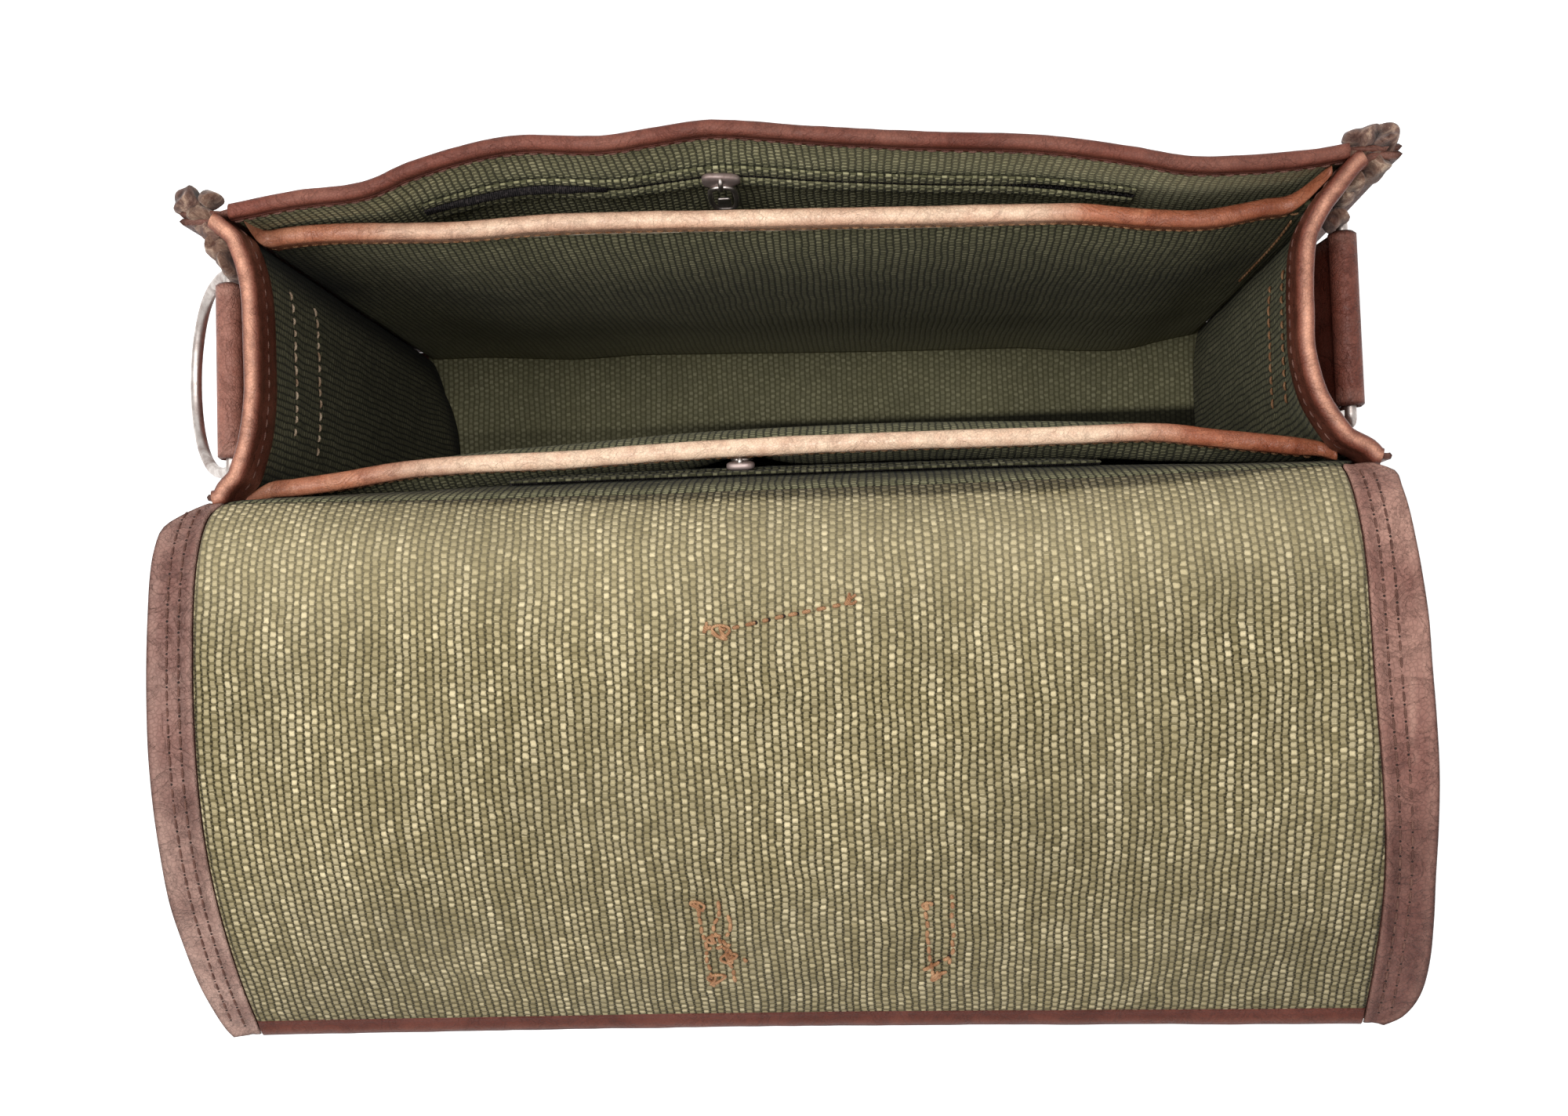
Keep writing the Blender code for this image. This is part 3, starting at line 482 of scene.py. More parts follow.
def ends_of(count):
    """How far each of a row's points is from the nearer end, in points."""
    return np.minimum(np.arange(count), np.arange(count)[::-1])


def ripple(points, scale, seed=0.0):
    """Smooth noise from -1 to 1 at each point of an array."""
    flat = np.asarray(points).reshape(-1, 3)
    values = [noise.noise(Vector(p * scale) + Vector((seed, 2.3 * seed, -seed))) for p in flat]
    return np.array(values).reshape(np.asarray(points).shape[:-1])


def sheet(name, grid, ways, low, high, look, replaces=(), slot=None, straight=False, floats=None,
          lift=0.0, body="bag"):
    """A closed sheet with rounded edges between two distances off a reference grid.

    lift raises the high side further, point by point, and straight runs the weave along X.
    """
    rows, columns = grid.shape[:2]
    high_at = np.full((rows, columns), high) + lift
    pull = np.zeros_like(grid)
    whole = slice(None)
    for edge, inner in (((0, whole), (1, whole)), ((-1, whole), (-2, whole)),
                        ((whole, 0), (whole, 1)), ((whole, -1), (whole, -2))):
        gap = grid[inner] - grid[edge]
        size = np.linalg.norm(gap, axis=-1, keepdims=True)
        pull[edge] += gap / size * np.minimum(0.42 * (high - low), 0.45 * size)
    index = np.arange(rows * columns).reshape(rows, columns)
    around = np.concatenate([index[0], index[1:, -1], index[-1, -2::-1], index[-2:0:-1, 0]])
    middle = (grid + ways * ((low + high_at) / 2)[..., None]).reshape(-1, 3)[around]
    points = np.concatenate([(grid + pull + ways * low).reshape(-1, 3),
                             (grid + pull + ways * high_at[..., None]).reshape(-1, 3), middle])
    corner = index[:-1, :-1].ravel()
    quads = np.stack([corner, corner + 1, corner + columns + 1, corner + columns], -1)
    turn = 1 if np.cross(grid[0, 1] - grid[0, 0], grid[1, 0] - grid[0, 0]) @ ways[0, 0] > 0 else -1
    faces = quads[:, ::-turn].tolist() + (quads + index.size)[:, ::turn].tolist()
    edges = (around, 2 * index.size + np.arange(len(around)), around + index.size)
    for first, second in zip(edges, edges[1:]):
        band = np.stack([first, np.roll(first, -1), np.roll(second, -1), second], -1)
        faces += band[:, ::turn].tolist()

    def on_all(values):
        flat = values.reshape(index.size, -1)
        return np.concatenate([flat, flat, flat[around]])

    across = grid[..., 0] if straight else lengths(grid, 1)[None, :].repeat(rows, 0)
    along = lengths(grid, 0)[:, None].repeat(columns, 1)
    floats = {key: on_all(values) for key, values in (floats or {}).items()}
    return piece(name, points, faces, look, replaces, slot, body,
                 on_all(np.stack([across, along], -1)), floats)


def ring_faces(count, around, closed=False, capped=True):
    """Quads between rings of points, and a face on each end of an open row of rings."""
    faces = []
    for k in range(count if closed else count - 1):
        first, second = k * around, (k + 1) % count * around
        for m in range(around):
            n = (m + 1) % around
            faces.append([first + m, first + n, second + n, second + m])
    if capped and not closed:
        faces.append(list(range(around))[::-1])
        faces.append([(count - 1) * around + m for m in range(around)])
    return faces


def copied(points, turned):
    """Points and faces of many small shapes, an array of shape by ring by point by 3."""
    count, rings, around = points.shape[:3]
    local = [face[::turned] for face in ring_faces(rings, around)]
    return points.reshape(-1, 3), [[number * rings * around + i for i in face]
                                   for number in range(count) for face in local]


def circle(around):
    return 2 * math.pi * np.arange(around) / around


def sweep(name, rings, look, replaces=(), slot=None, closed=False, floats=None, body="bag"):
    """A skin through rings of points, an array of ring by point by 3, with flat ends."""
    count, around = rings.shape[:2]
    faces = ring_faces(count, around, closed)
    middle = rings.mean(axis=1)
    volume = 0.0
    for k in (0, count // 3, count // 2):
        spread = np.cross(rings[k, 0] - middle[k], rings[k, around // 3] - middle[k])
        volume += spread @ (middle[(k + 1) % count] - middle[k])
    if volume < 0:
        faces = [face[::-1] for face in faces]
    along = lengths(rings, 0)[:, None].repeat(around, 1)
    about = lengths(rings, 1)[None, :].repeat(count, 0)
    uv = np.stack([along, about], -1).reshape(-1, 2)
    return piece(name, rings.reshape(-1, 3), faces, look, replaces, slot, body, uv, floats)


def tube_rings(path, radius, around=10, closed=False):
    """Rings of points round a path, on a frame that turns as little as it can."""
    path = np.asarray(path, float)
    ways = unit(np.roll(path, -1, 0) - np.roll(path, 1, 0) if closed else np.gradient(path, axis=0))
    normal = UP if abs(ways[0] @ UP) < 0.9 else FORE
    angles = circle(around)[:, None]
    rings = []
    for point, way, size in zip(path, ways, np.broadcast_to(radius, (len(path),))):
        normal = unit(normal - way * (normal @ way))
        rings.append(point + size * (np.cos(angles) * normal + np.sin(angles) * np.cross(way, normal)))
    return np.array(rings)


def paced(path, ways, pitch, share=0.7, jitter=0.0001, start=0.0):
    """Stitch starts, ends and ways at even steps along a path, each filling a share of its step."""
    run = np.concatenate([[0.0], np.cumsum(np.linalg.norm(np.diff(path, axis=0), axis=1))])
    places = np.arange(pitch * 0.5 + start, run[-1] - pitch * 0.5, pitch)

    def at(values, where):
        return np.stack([np.interp(where, run, values[:, k]) for k in range(3)], -1)

    wander = RANDOM.normal(0.0, jitter, (2, len(places)))
    begins = at(path, places - pitch * share / 2 + wander[0])
    ends = at(path, places + pitch * share / 2 + wander[1])
    return begins, ends, unit(at(ways, places))


def marks(starts, ends, ways, radius, arch):
    """Points and faces of short rounded stitches from starts to ends, arched off their surface."""
    t, share, height = np.array(STITCH).T[:, None, :, None, None]
    angles = circle(6)[:, None]
    aside = unit(np.cross(unit(ends - starts), ways))
    start, end, way, aside = (values[:, None, None] for values in (starts, ends, ways, aside))
    points = (start + (end - start) * t + way * radius * (arch * height + share * np.sin(angles))
              + aside * radius * share * np.cos(angles))
    return copied(points, -1)


def stitched(name, runs, radius, look="brown_thread", arch=0.4):
    """One piece of the stitches of several runs of starts, ends and ways."""
    return piece(name, *marks(*(np.concatenate(part) for part in zip(*runs)), radius, arch), look)


def holes(name, places, ways, radius):
    """Small dark dimples where a needle has gone through."""
    some = unit(np.cross(ways, np.array([0.3, 0.5, 0.8])))
    other = np.cross(ways, some)
    share, height = np.array(DIMPLE).T[:, None, :, None, None]
    angles = circle(8)[:, None]
    place, way, some, other = (values[:, None, None] for values in (places, ways, some, other))
    points = place + radius * (share * (some * np.cos(angles) + other * np.sin(angles)) + way * height)
    return piece(name, *copied(points, 1), "hole")


# Walls of the bag
def front_y(x, z):
    return HALF_D + through(FRONT_RIM, 1, x) * np.minimum(1.0, z / RIM_FOOT) ** 1.8


def back_y(x, z):
    middle, side = through(BACK_WALL, 1, z), through(BACK_WALL, 2, z)
    share = np.maximum(0.0, 1.0 - (np.abs(x) / HALF_W) ** 2.4)
    return -HALF_D + side + (middle - side) * share


def gusset_x(side, y, z):
    inward = through(GUSSET_INWARD, 1 if side < 0 else 2, z)
    return side * (HALF_W - inward * through(GUSSET_BOW, 1, y))


def front_grid(places, heights):
    x, z = np.meshgrid(places, heights)
    return np.stack([x, front_y(x, z), z], -1)


def away(grid, way):
    return np.broadcast_to(np.asarray(way, float), grid.shape).copy()


# Front panel and its lining
places = np.linspace(-HALF_W - SEAM_W, HALF_W + SEAM_W, 118)
heights = np.linspace(0.0, BAG_H, 76)
grid = front_grid(places, heights)
lift = 0.00025 * ripple(grid, 24.0, 1.0) + 0.00012 * ripple(grid, 90.0, 2.0)
lift -= 0.0005 * near(np.abs(grid[..., 0]), HALF_W + 0.0015, 0.0022)
edge = np.minimum(HALF_W + SEAM_W - np.abs(grid[..., 0]), grid[..., 2])
sheet("front_leather", grid, away(grid, FORE), 0.0, HIDE, "panel", ["front_panel"], "leather_panel",
      True, {"dirt_and_painted_shade": 0.75 * near(edge, 0.0, 0.0022), "wear_and_highlight": 0.5 * near(edge, 0.004, 0.003)}, lift)

places = np.linspace(-0.1870, 0.1870, 150)
heights = np.linspace(LINING_FOOT, BAG_H, 110)
grid = front_grid(places, heights)
lift = 0.00025 + 0.00030 * ripple(grid, 38.0, 4.0)
front_canvas = sheet("front_canvas", grid, away(grid, -FORE), GAP, LINING, "inner_canvas",
                     ["front_lining"], "canvas_inside", True,
                     # darker towards the bottom and paler towards the right
                     {"dirt_and_painted_shade": 0.20 * near(grid[..., 2], 0.0, 0.02),
                      "wear_and_highlight": 0.08 + 0.34 * bound(grid[..., 0] / 0.15)}, np.maximum(lift, 0.0))

# Back panel and flap
coarse = []
for z in WALL_Z[:-1]:
    narrow = 0.0085 if z == RIM_FOOT else 0.0025 if z == 0.240 else 0.0
    inner = np.linspace(-0.1870, 0.1870, BACK_COLUMNS)
    x = np.concatenate([[-HALF_W - SEAM_W + narrow], inner, [HALF_W + SEAM_W - narrow]])
    coarse.append(np.stack([x, back_y(x, z), np.full_like(x, z)], -1))
wall_rows = len(coarse)
share = np.linspace(0.0, 1.0, BACK_COLUMNS + 2)
run, drop = np.zeros_like(share), np.zeros_like(share)
last = FLAP[0]
for row in FLAP:
    left, middle, right = ((last[k] + row[k]) / 2 for k in (1, 2, 3))
    slope = (left * (1 - 2 * share) * (1 - share) + middle * 4 * share * (1 - share)
             + right * share * (2 * share - 1))
    run = run + np.cos(np.radians(slope)) * (row[0] - last[0])
    drop = drop + np.sin(np.radians(slope)) * (row[0] - last[0])
    x = np.concatenate([[row[4]], np.linspace(row[5], row[6], BACK_COLUMNS), [row[7]]])
    coarse.append(np.stack([x, back_y(x, BAG_H) - run, BAG_H + drop], -1))
    last = row
back, row_of = refine(coarse, 0.0032, 0)
back, column_of = refine(back, 0.0032, 1)
back_in = normals(back, FORE)
seam_left, seam_right = column_of[1], column_of[BACK_COLUMNS]
hinge, hem_row = row_of[wall_rows], row_of[-2]
rows, columns = back.shape[:2]
from_edge = np.minimum(lengths(back, 1)[None, :], lengths(back, 1)[-1] - lengths(back, 1)[None, :])
to_end = (lengths(back, 0)[-1] - lengths(back, 0))[:, None]
edge = np.minimum(from_edge, to_end) + np.zeros((rows, columns))
lift = 0.00025 * ripple(back, 20.0, 5.0)
sheet("back_and_flap_leather", back, -back_in, 0.0, HIDE, "panel", ["back_panel_and_flap"],
      "leather_panel", True,
      {"dirt_and_painted_shade": 0.8 * near(edge, 0.0, 0.0016), "wear_and_highlight": 0.45 * near(edge, 0.0035, 0.0025)}, lift)

lined = back[:hem_row + 1, seam_left:seam_right + 1].copy()
lined_in = back_in[:hem_row + 1, seam_left:seam_right + 1]
lined[0, :, 2] = LINING_FOOT
lined[:, 0] += unit(lined[:, 1] - lined[:, 0]) * GAP
lined[:, -1] += unit(lined[:, -2] - lined[:, -1]) * GAP
way_on = lengths(back, 0)[:hem_row + 1][:, None] - lengths(back, 0)[hinge]
x = lined[..., 0]
edge = np.minimum(np.minimum(x - x[:, :1], x[:, -1:] - x), np.maximum(way_on[-1] - way_on, 0.0))
lift = 0.00022 + 0.00022 * ripple(lined, 30.0, 6.0) + 0.00012 * ripple(lined, 75.0, 7.0)
for middle_x, middle_s in ((-0.005, 0.051), (-0.029, 0.172), (0.044, 0.172)):
    distance = np.hypot((x - middle_x) * 0.55, way_on - middle_s)
    lift += 0.00030 * near(distance, 0.014, 0.008) - 0.00022 * near(distance, 0.0, 0.006)
lift *= bound(edge / 0.008)
# painted shade on the back lining below the hinge, inside the bag
below_hinge_shade = bound(-way_on / 0.014)
# darker along the lining's edges, and painted shade towards the flap's end
dirt_and_painted_shade = 0.70 * below_hinge_shade + 0.16 * near(edge, 0.0, 0.0035) + 0.24 * bound((way_on - 0.08) / 0.13)
# painted shade in the hinge's fold
dirt_and_painted_shade += 0.45 * near(way_on, -0.0004, 0.0012)
# how far the painted shadow of the back divider's roll reaches onto the flap
shade_to = np.interp(x, (-0.19, -0.15, -0.09, 0.0, 0.085, 0.125, 0.165, 0.19),
                     (0.0, 0.003, 0.0052, 0.0074, 0.0088, 0.0074, 0.003, 0.0))
shadow_end = shade_to + 0.0006 * ripple(lined, 60.0, 50.0)
dirt_and_painted_shade += 0.52 * bound((shadow_end - way_on) / 0.0018) * (way_on > 0)
# painted shade towards the right; the ripple is random tone
dirt_and_painted_shade += 0.10 * bound((x - 0.05) / 0.14) + 0.05 * ripple(lined, 16.0, 8.0)
# painted light: a paler band on the flap just past the shadow
wear_and_highlight = 0.22 * near(way_on, 0.022, 0.026) * (way_on > shade_to)
wear_and_highlight += 0.05 * ripple(lined, 26.0, 9.0) * (way_on > 0.0)
back_canvas, flap_canvas = (
    sheet(name, lined[part], lined_in[part], GAP, LINING, look, nodes, slot, True,
          {"dirt_and_painted_shade": bound(dirt_and_painted_shade[part], 0.0, 0.9), "wear_and_highlight": bound(wear_and_highlight[part])},
          np.maximum(lift[part], 0.0))
    for name, part, look, nodes, slot in (
        ("back_canvas", slice(0, hinge + 1), "inner_canvas", ["back_lining"], "canvas_inside"),
        ("flap_canvas", slice(hinge, None), "flap_canvas", ["flap_lining"], "canvas_flap")))

margins = []
for word, first, final, look in (("left", 0, seam_left, "margin"),
                                 ("right", seam_right, columns - 1, "margin_right")):
    part = back[hinge:, first:final + 1]
    part, _ = refine(part, 0.0011, 1)
    ways = normals(part, (0.0, 1.0, 1.0))
    outer = part[:, 0] if word == "left" else part[:, -1]
    off = np.linalg.norm(part - outer[:, None], axis=-1)
    inner = off.max(1)[:, None] - off
    end = (lengths(part, 0)[-1] - lengths(part, 0))[:, None]
    lift = 0.00014 * ripple(part, 60.0, 9.0) + 0.00016 * ripple(part * (1, 0.35, 0.35), 210.0, 10.0)
    lift -= 0.00022 * near(inner, 0.0030, 0.0009)
    wear_and_highlight = 0.30 * near(inner, 0.0, 0.0010) + 0.25 * near(off, 0.0022, 0.0014)
    far_y = part[..., 1]
    blotch = bound(0.7 + ripple(part, 70.0, 15.0))
    dirt_and_painted_shade = 0.80 * near(np.minimum(off, end), 0.0, 0.0009) + 0.30 * near(inner, 0.0030, 0.0010)
    if word == "left":
        wear_and_highlight += near(far_y, -0.205, 0.050) * blotch
    else:
        scratch = near(part[..., 0], 0.1927 + 0.0006 * ripple(part, 150.0, 3.0), 0.0011)
        rubbed = bound(0.5 + ripple(part, 260.0, 12.0)) * near(far_y, -0.133, 0.014)
        wear_and_highlight += 0.85 * near(far_y, -0.070, 0.055) * blotch + 1.6 * scratch * rubbed
        dirt_and_painted_shade += 0.44 * bound((-0.110 - far_y) / 0.09)
    margins.append((part, ways, inner))
    sheet("flap_margin_strip_" + word, part, ways, GAP, STRIP_HIGH, look, ["flap_margin_" + word],
          "leather_margin", False, {"wear_and_highlight": bound(wear_and_highlight), "dirt_and_painted_shade": bound(dirt_and_painted_shade, 0, 0.9)}, lift)

hem = back[hem_row - 1:, seam_left:seam_right + 1].copy()
hem[:, 0] += unit(hem[:, 1] - hem[:, 0]) * GAP
hem[:, -1] += unit(hem[:, -2] - hem[:, -1]) * GAP
hem, _ = refine(hem, 0.0008, 0)
hem_in = normals(hem, (0.0, -0.5, 1.0))
end = (lengths(hem, 0)[-1] - lengths(hem, 0))[:, None] + np.zeros(hem.shape[:2])
lift = 0.00016 * ripple(hem, 120.0, 13.0) + 0.00020 * ripple(hem, 45.0, 14.0)
lift += 0.0007 * near(end, 0.0028, 0.0024)
sheet("flap_hem_strip", hem, hem_in, GAP, STRIP_HIGH, "front_rim", ["flap_hem"],
      "leather_margin", True,
      {"dirt_and_painted_shade": 0.40 + 0.5 * near(end, 0.0, 0.0009), "wear_and_highlight": 0.25 * near(end, 0.0030, 0.0014)}, lift)

# Base and floor
x, y = np.meshgrid(np.linspace(-0.192, 0.192, 60), np.linspace(-HALF_D + GAP, HALF_D - GAP, 18))
grid = np.stack([x, y, np.zeros_like(x)], -1)
edge = np.minimum(0.192 - np.abs(x), HALF_D - GAP - np.abs(y))
sheet("base_leather", grid, away(grid, UP), 0.0, HIDE, "panel", ["base_panel"], "leather_panel",
      True, {"dirt_and_painted_shade": 0.5 * near(edge, 0.0, 0.003)})
floor_y = np.linspace(-HALF_D + 2 * GAP, HALF_D - 2 * GAP, 28)
reach = [gusset_x(side, bound(floor_y, -0.044, 0.044), 0.0) - side * GAP for side in (-1, 1)]
x = np.linspace(0.0, 1.0, 90)[None, :] * (reach[1] - reach[0])[:, None] + reach[0][:, None]
grid = np.stack([x, floor_y[:, None] + np.zeros_like(x), np.full_like(x, HIDE)], -1)
# painted shadow of the back divider on the floor along its foot, fading to the left; the ripple is random
# tone
shadow = bound((0.0084 - grid[..., 1]) / 0.002) * bound((grid[..., 0] + 0.13) / 0.12, 0.3)
dirt_and_painted_shade = 0.06 + 0.12 * ripple(grid, 20.0, 15.0) + 0.86 * shadow
floor_canvas = sheet("floor_canvas", grid, away(grid, UP), GAP, LINING, "floor_canvas",
                     ["floor_lining"], "canvas_inside", True, {"dirt_and_painted_shade": bound(dirt_and_painted_shade, 0.0, 0.9)})


# Bindings
def row_at(grid, z):
    heights = grid[:, 0, 2]
    i = int(bound(np.searchsorted(heights, z) - 1, 0, len(heights) - 2))
    t = (z - heights[i]) / (heights[i + 1] - heights[i])
    return grid[i] * (1 - t) + grid[i + 1] * t


def rim(name, at, low, high, inner_leg, outer_leg, trim, roll, look, replaces, slot, wear_and_highlight, seed,
        swell=(0.0, 0.0), crest_highlight_share=0.65, crest_highlight_power=3, taper=None):
    """A strip rolled over an edge. at(depth) gives the wall's points and ways below the edge.

    swell carries the roll further out over its legs, on its low and its high side. taper
    is the share of the full size left at the ends, and how many points it takes to get there.
    """
    room = 0.00015
    left, right = low - room - trim, high + room + trim
    inner, outer = left - swell[0], right + swell[1]
    middle, half = (inner + outer) / 2, (outer - inner) / 2
    # Section rows: offset, rise, share of the painted highlight along the crest, and painted shade, darker
    # down the legs and on the roll's flanks.
    section = [(left, -inner_leg, 0.0, 0.55)]
    section += [(left - 0.0002, -inner_leg * k, 0.0, 0.36) for k in (0.97, 0.75, 0.5, 0.3)]
    section += [(left + 0.0001, -0.0026, 0.0, 0.60), (left - swell[0] * 0.6, -0.0014, 0.0, 0.30)]
    for k in range(15):
        angle = math.pi * (1 - k / 14)
        bulge = 1.0 + 0.05 * math.sin(angle)
        section.append((middle + half * bulge * math.cos(angle), roll * math.sin(angle) ** 0.85,
                        math.sin(angle) ** crest_highlight_power, 0.30 * (1.0 - math.sin(angle)) ** 2))
    section += [(right + swell[1] * 0.6, -0.0014, 0.0, 0.3), (right + 0.0002, -0.0028, 0.0, 0.5)]
    section += [(right + 0.0002, -outer_leg * k, 0.0, 0.0) for k in (0.45, 0.7, 0.9)]
    section += [(right, -outer_leg, 0.0, 0.55), (right - trim, -outer_leg, 0.0, 0.8),
                (right - trim, room, 0.0, 0.8), (left + trim, room, 0.0, 0.8),
                (left + trim, -inner_leg, 0.0, 0.8)]
    layers = []
    for off, rise, crest_highlight, dark in section:
        base, ways = at(max(0.0, -rise))
        layers.append(base + ways * off + UP * max(rise, 0.0))
    rings = np.stack(layers, axis=1)
    skin = len(section) - 4
    bulk = rings.mean(axis=1, keepdims=True)
    crest_highlight, dark = (np.array([row[k] for row in section]) + np.zeros(rings.shape[:2]) for k in (2, 3))
    push = 0.00022 * ripple(rings[:, :skin], 70.0, seed) + 0.00010 * ripple(rings[:, :skin], 240.0, seed)
    rings[:, :skin] += unit(rings[:, :skin] - bulk) * push[..., None]
    if taper is not None:
        size = taper[0] + (1.0 - taper[0]) * bound(ends_of(len(rings)) / taper[1]) ** 0.6
        rings = bulk + (rings - bulk) * size[:, None, None]
        # darker towards the right end
        dark += 0.22 * bound((rings[..., 0] - 0.110) / 0.07)
    # the wear is weighted towards the crest as a painted highlight
    shown = bound(wear_and_highlight(rings) * (1.0 - crest_highlight_share + crest_highlight_share * crest_highlight))
    return sweep(name, rings, look, replaces, slot, floats={"wear_and_highlight": shown, "dirt_and_painted_shade": dark})


def front_at(places):
    def at(depth):
        z = np.full_like(places, BAG_H - depth)
        base = np.stack([places, front_y(places, z), z], -1)
        return base, away(base, FORE)
    return at


def divider_at(edge):
    def at(depth):
        return edge - UP * depth, away(edge, FORE)
    return at


rim_x = np.linspace(-0.1870, 0.1870, 190)
rim("front_rim_roll", front_at(rim_x), -LINING, HIDE, 0.0040, 0.0120, 0.0005, 0.0024, "front_rim",
    ["front_rim_binding"], "leather_binding", lambda p: 0.30 + 0.3 * ripple(p, 50.0, 20.0), 21.0,
    (0.0, 0.0004))

# Gussets
gussets, gusset_walls = {}, {}
for side, word in ((-1, "left"), (1, "right")):
    rows_z = np.linspace(HIDE + GAP, BAG_H, 74)
    path_rows = []
    for z in rows_z:
        front = float(front_y(side * HALF_W, z)) - GAP
        rear = float(back_y(side * HALF_W, min(z, RIM_FOOT))) + GAP
        ends = [(side * (HALF_W + SEAM_W), 0.0), (side * (HALF_W + 0.0065), 0.0),
                (side * (HALF_W + 0.0028), 0.0009)]
        line = [(x, front - back_off) for x, back_off in ends]
        line.append((float(gusset_x(side, 0.0465, z)) + side * 0.0004, front - 0.0036))
        line += [(float(gusset_x(side, y, z)), y) for y in np.linspace(0.041, -0.041, 40)]
        line.append((float(gusset_x(side, -0.0465, z)) + side * 0.0004, rear + 0.0036))
        slim = 0.0125 * min(1.0, max(0.0, (z - 0.228) / 0.032))
        rear_ends = [(side * max(abs(x) - slim, HALF_W + 0.0010 + 0.0026 * k), back_off)
                     for k, (x, back_off) in zip((2, 1, 0), ends)]
        line += [(x, rear + back_off) for x, back_off in reversed(rear_ends)]
        path_rows.append([(x, y, z) for x, y in line])
    path, knots = refine(path_rows, 0.0022, 1)
    ways = normals(path, (side, 0.0, 0.0))
    ways[..., 2] = 0.0
    ways = unit(ways)
    first, final = knots[3], knots[-4]
    run_on = lengths(path, 1)
    edge = np.minimum(run_on, run_on[-1] - run_on)[None, :] + np.zeros(path.shape[:2])
    lift = 0.00030 * ripple(path, 22.0, 16.0 + side)
    sheet("gusset_leather_" + word, path, ways, 0.0, HIDE, "panel", ["gusset_" + word],
          "leather_panel", False,
          {"dirt_and_painted_shade": 0.75 * near(edge, 0.0, 0.0022), "wear_and_highlight": 0.4 * near(edge, 0.004, 0.003)}, lift)
    cloth = path[:, first:final + 1].copy()
    cloth_in = -ways[:, first:final + 1]
    cloth[0, :, 2] = LINING_FOOT
    lift = 0.00020 + 0.00030 * ripple(cloth, 34.0, 18.0 + side)
    if side < 0:
        lift += 0.0055 * near(cloth[..., 2], 0.0, 0.045) * bound(
            1.0 - ((cloth[..., 1] + 0.004) / 0.030) ** 2)
    for z, low_y, high_y in LINING_SEAMS[word]:
        within = (cloth[..., 1] > low_y) & (cloth[..., 1] < high_y)
        lift += within * 0.00045 * near(cloth[..., 2], z - 0.004, 0.003)
        lift -= within * 0.00030 * near(cloth[..., 2], z, 0.0016)
    # painted shade: both linings darker towards their corners and their foot
    corner = bound((np.abs(cloth[..., 1] + 0.002) - 0.030) / 0.012)
    dirt_and_painted_shade = 0.12 + 0.06 * corner + 0.10 * near(cloth[..., 2], 0.0, 0.03)
    # painted shade: the left lining, facing away from the key light, darker all over, with a deeper painted
    # shadow in its corners and along its foot
    if side < 0:
        dirt_and_painted_shade += 0.34 + 0.44 * corner + 0.75 * near(cloth[..., 2], 0.004, 0.009)
    gusset_walls[word] = sheet("gusset_canvas_" + word, cloth, cloth_in, GAP, LINING, "wall_canvas",
                               ["gusset_lining_" + word], "canvas_inside", False,
                               {"dirt_and_painted_shade": bound(dirt_and_painted_shade, 0.0, 0.9)}, np.maximum(lift, 0.0))
    gussets[word] = (path, ways, first, final)

    def gusset_at(depth, path=path, ways=ways, first=first, final=final):
        row = row_at(path, BAG_H - depth)[first - 2:final + 5]
        way = unit(row_at(np.concatenate([ways[..., :2], path[..., 2:]], -1),
                          BAG_H - depth)[first - 2:final + 5] * (1, 1, 0))
        return row, way

    # Their wear sits almost all on the crest, a painted highlight along the roll.
    rim("gusset_rim_roll_" + word, gusset_at, -LINING, HIDE, 0.0160, 0.0120, 0.0010, 0.0026, "rim",
        ["gusset_binding_" + word], "leather_binding",
        lambda p: 0.80 + 0.45 * ripple(p, 40.0, 22.0), 22.0 + side, (0.0, 0.0), 0.97,
        6 if side < 0 else 9)

# Dividers
divider_edges, divider_ends, divider_walls = {}, {}, {}


def raw_lip(word, edge_line):
    """The paler raw edge of the strip, showing below its roll where the leather is worn."""
    line = edge_line[28:-34]
    depth = 0.0079 + 0.0004 * ripple(line, 160.0, 34.0)
    path = line - UP * depth[:, None] - FORE * (DIVIDER_T / 2 + 0.0010)
    fade = bound(ends_of(len(line)) / 6.0)
    size = (0.00055 + 0.00025 * ripple(line, 210.0, 35.0)) * (0.25 + 0.75 * fade)
    sweep(f"divider_{word}_raw_lip", tube_rings(path, size, 8), "raw_edge")


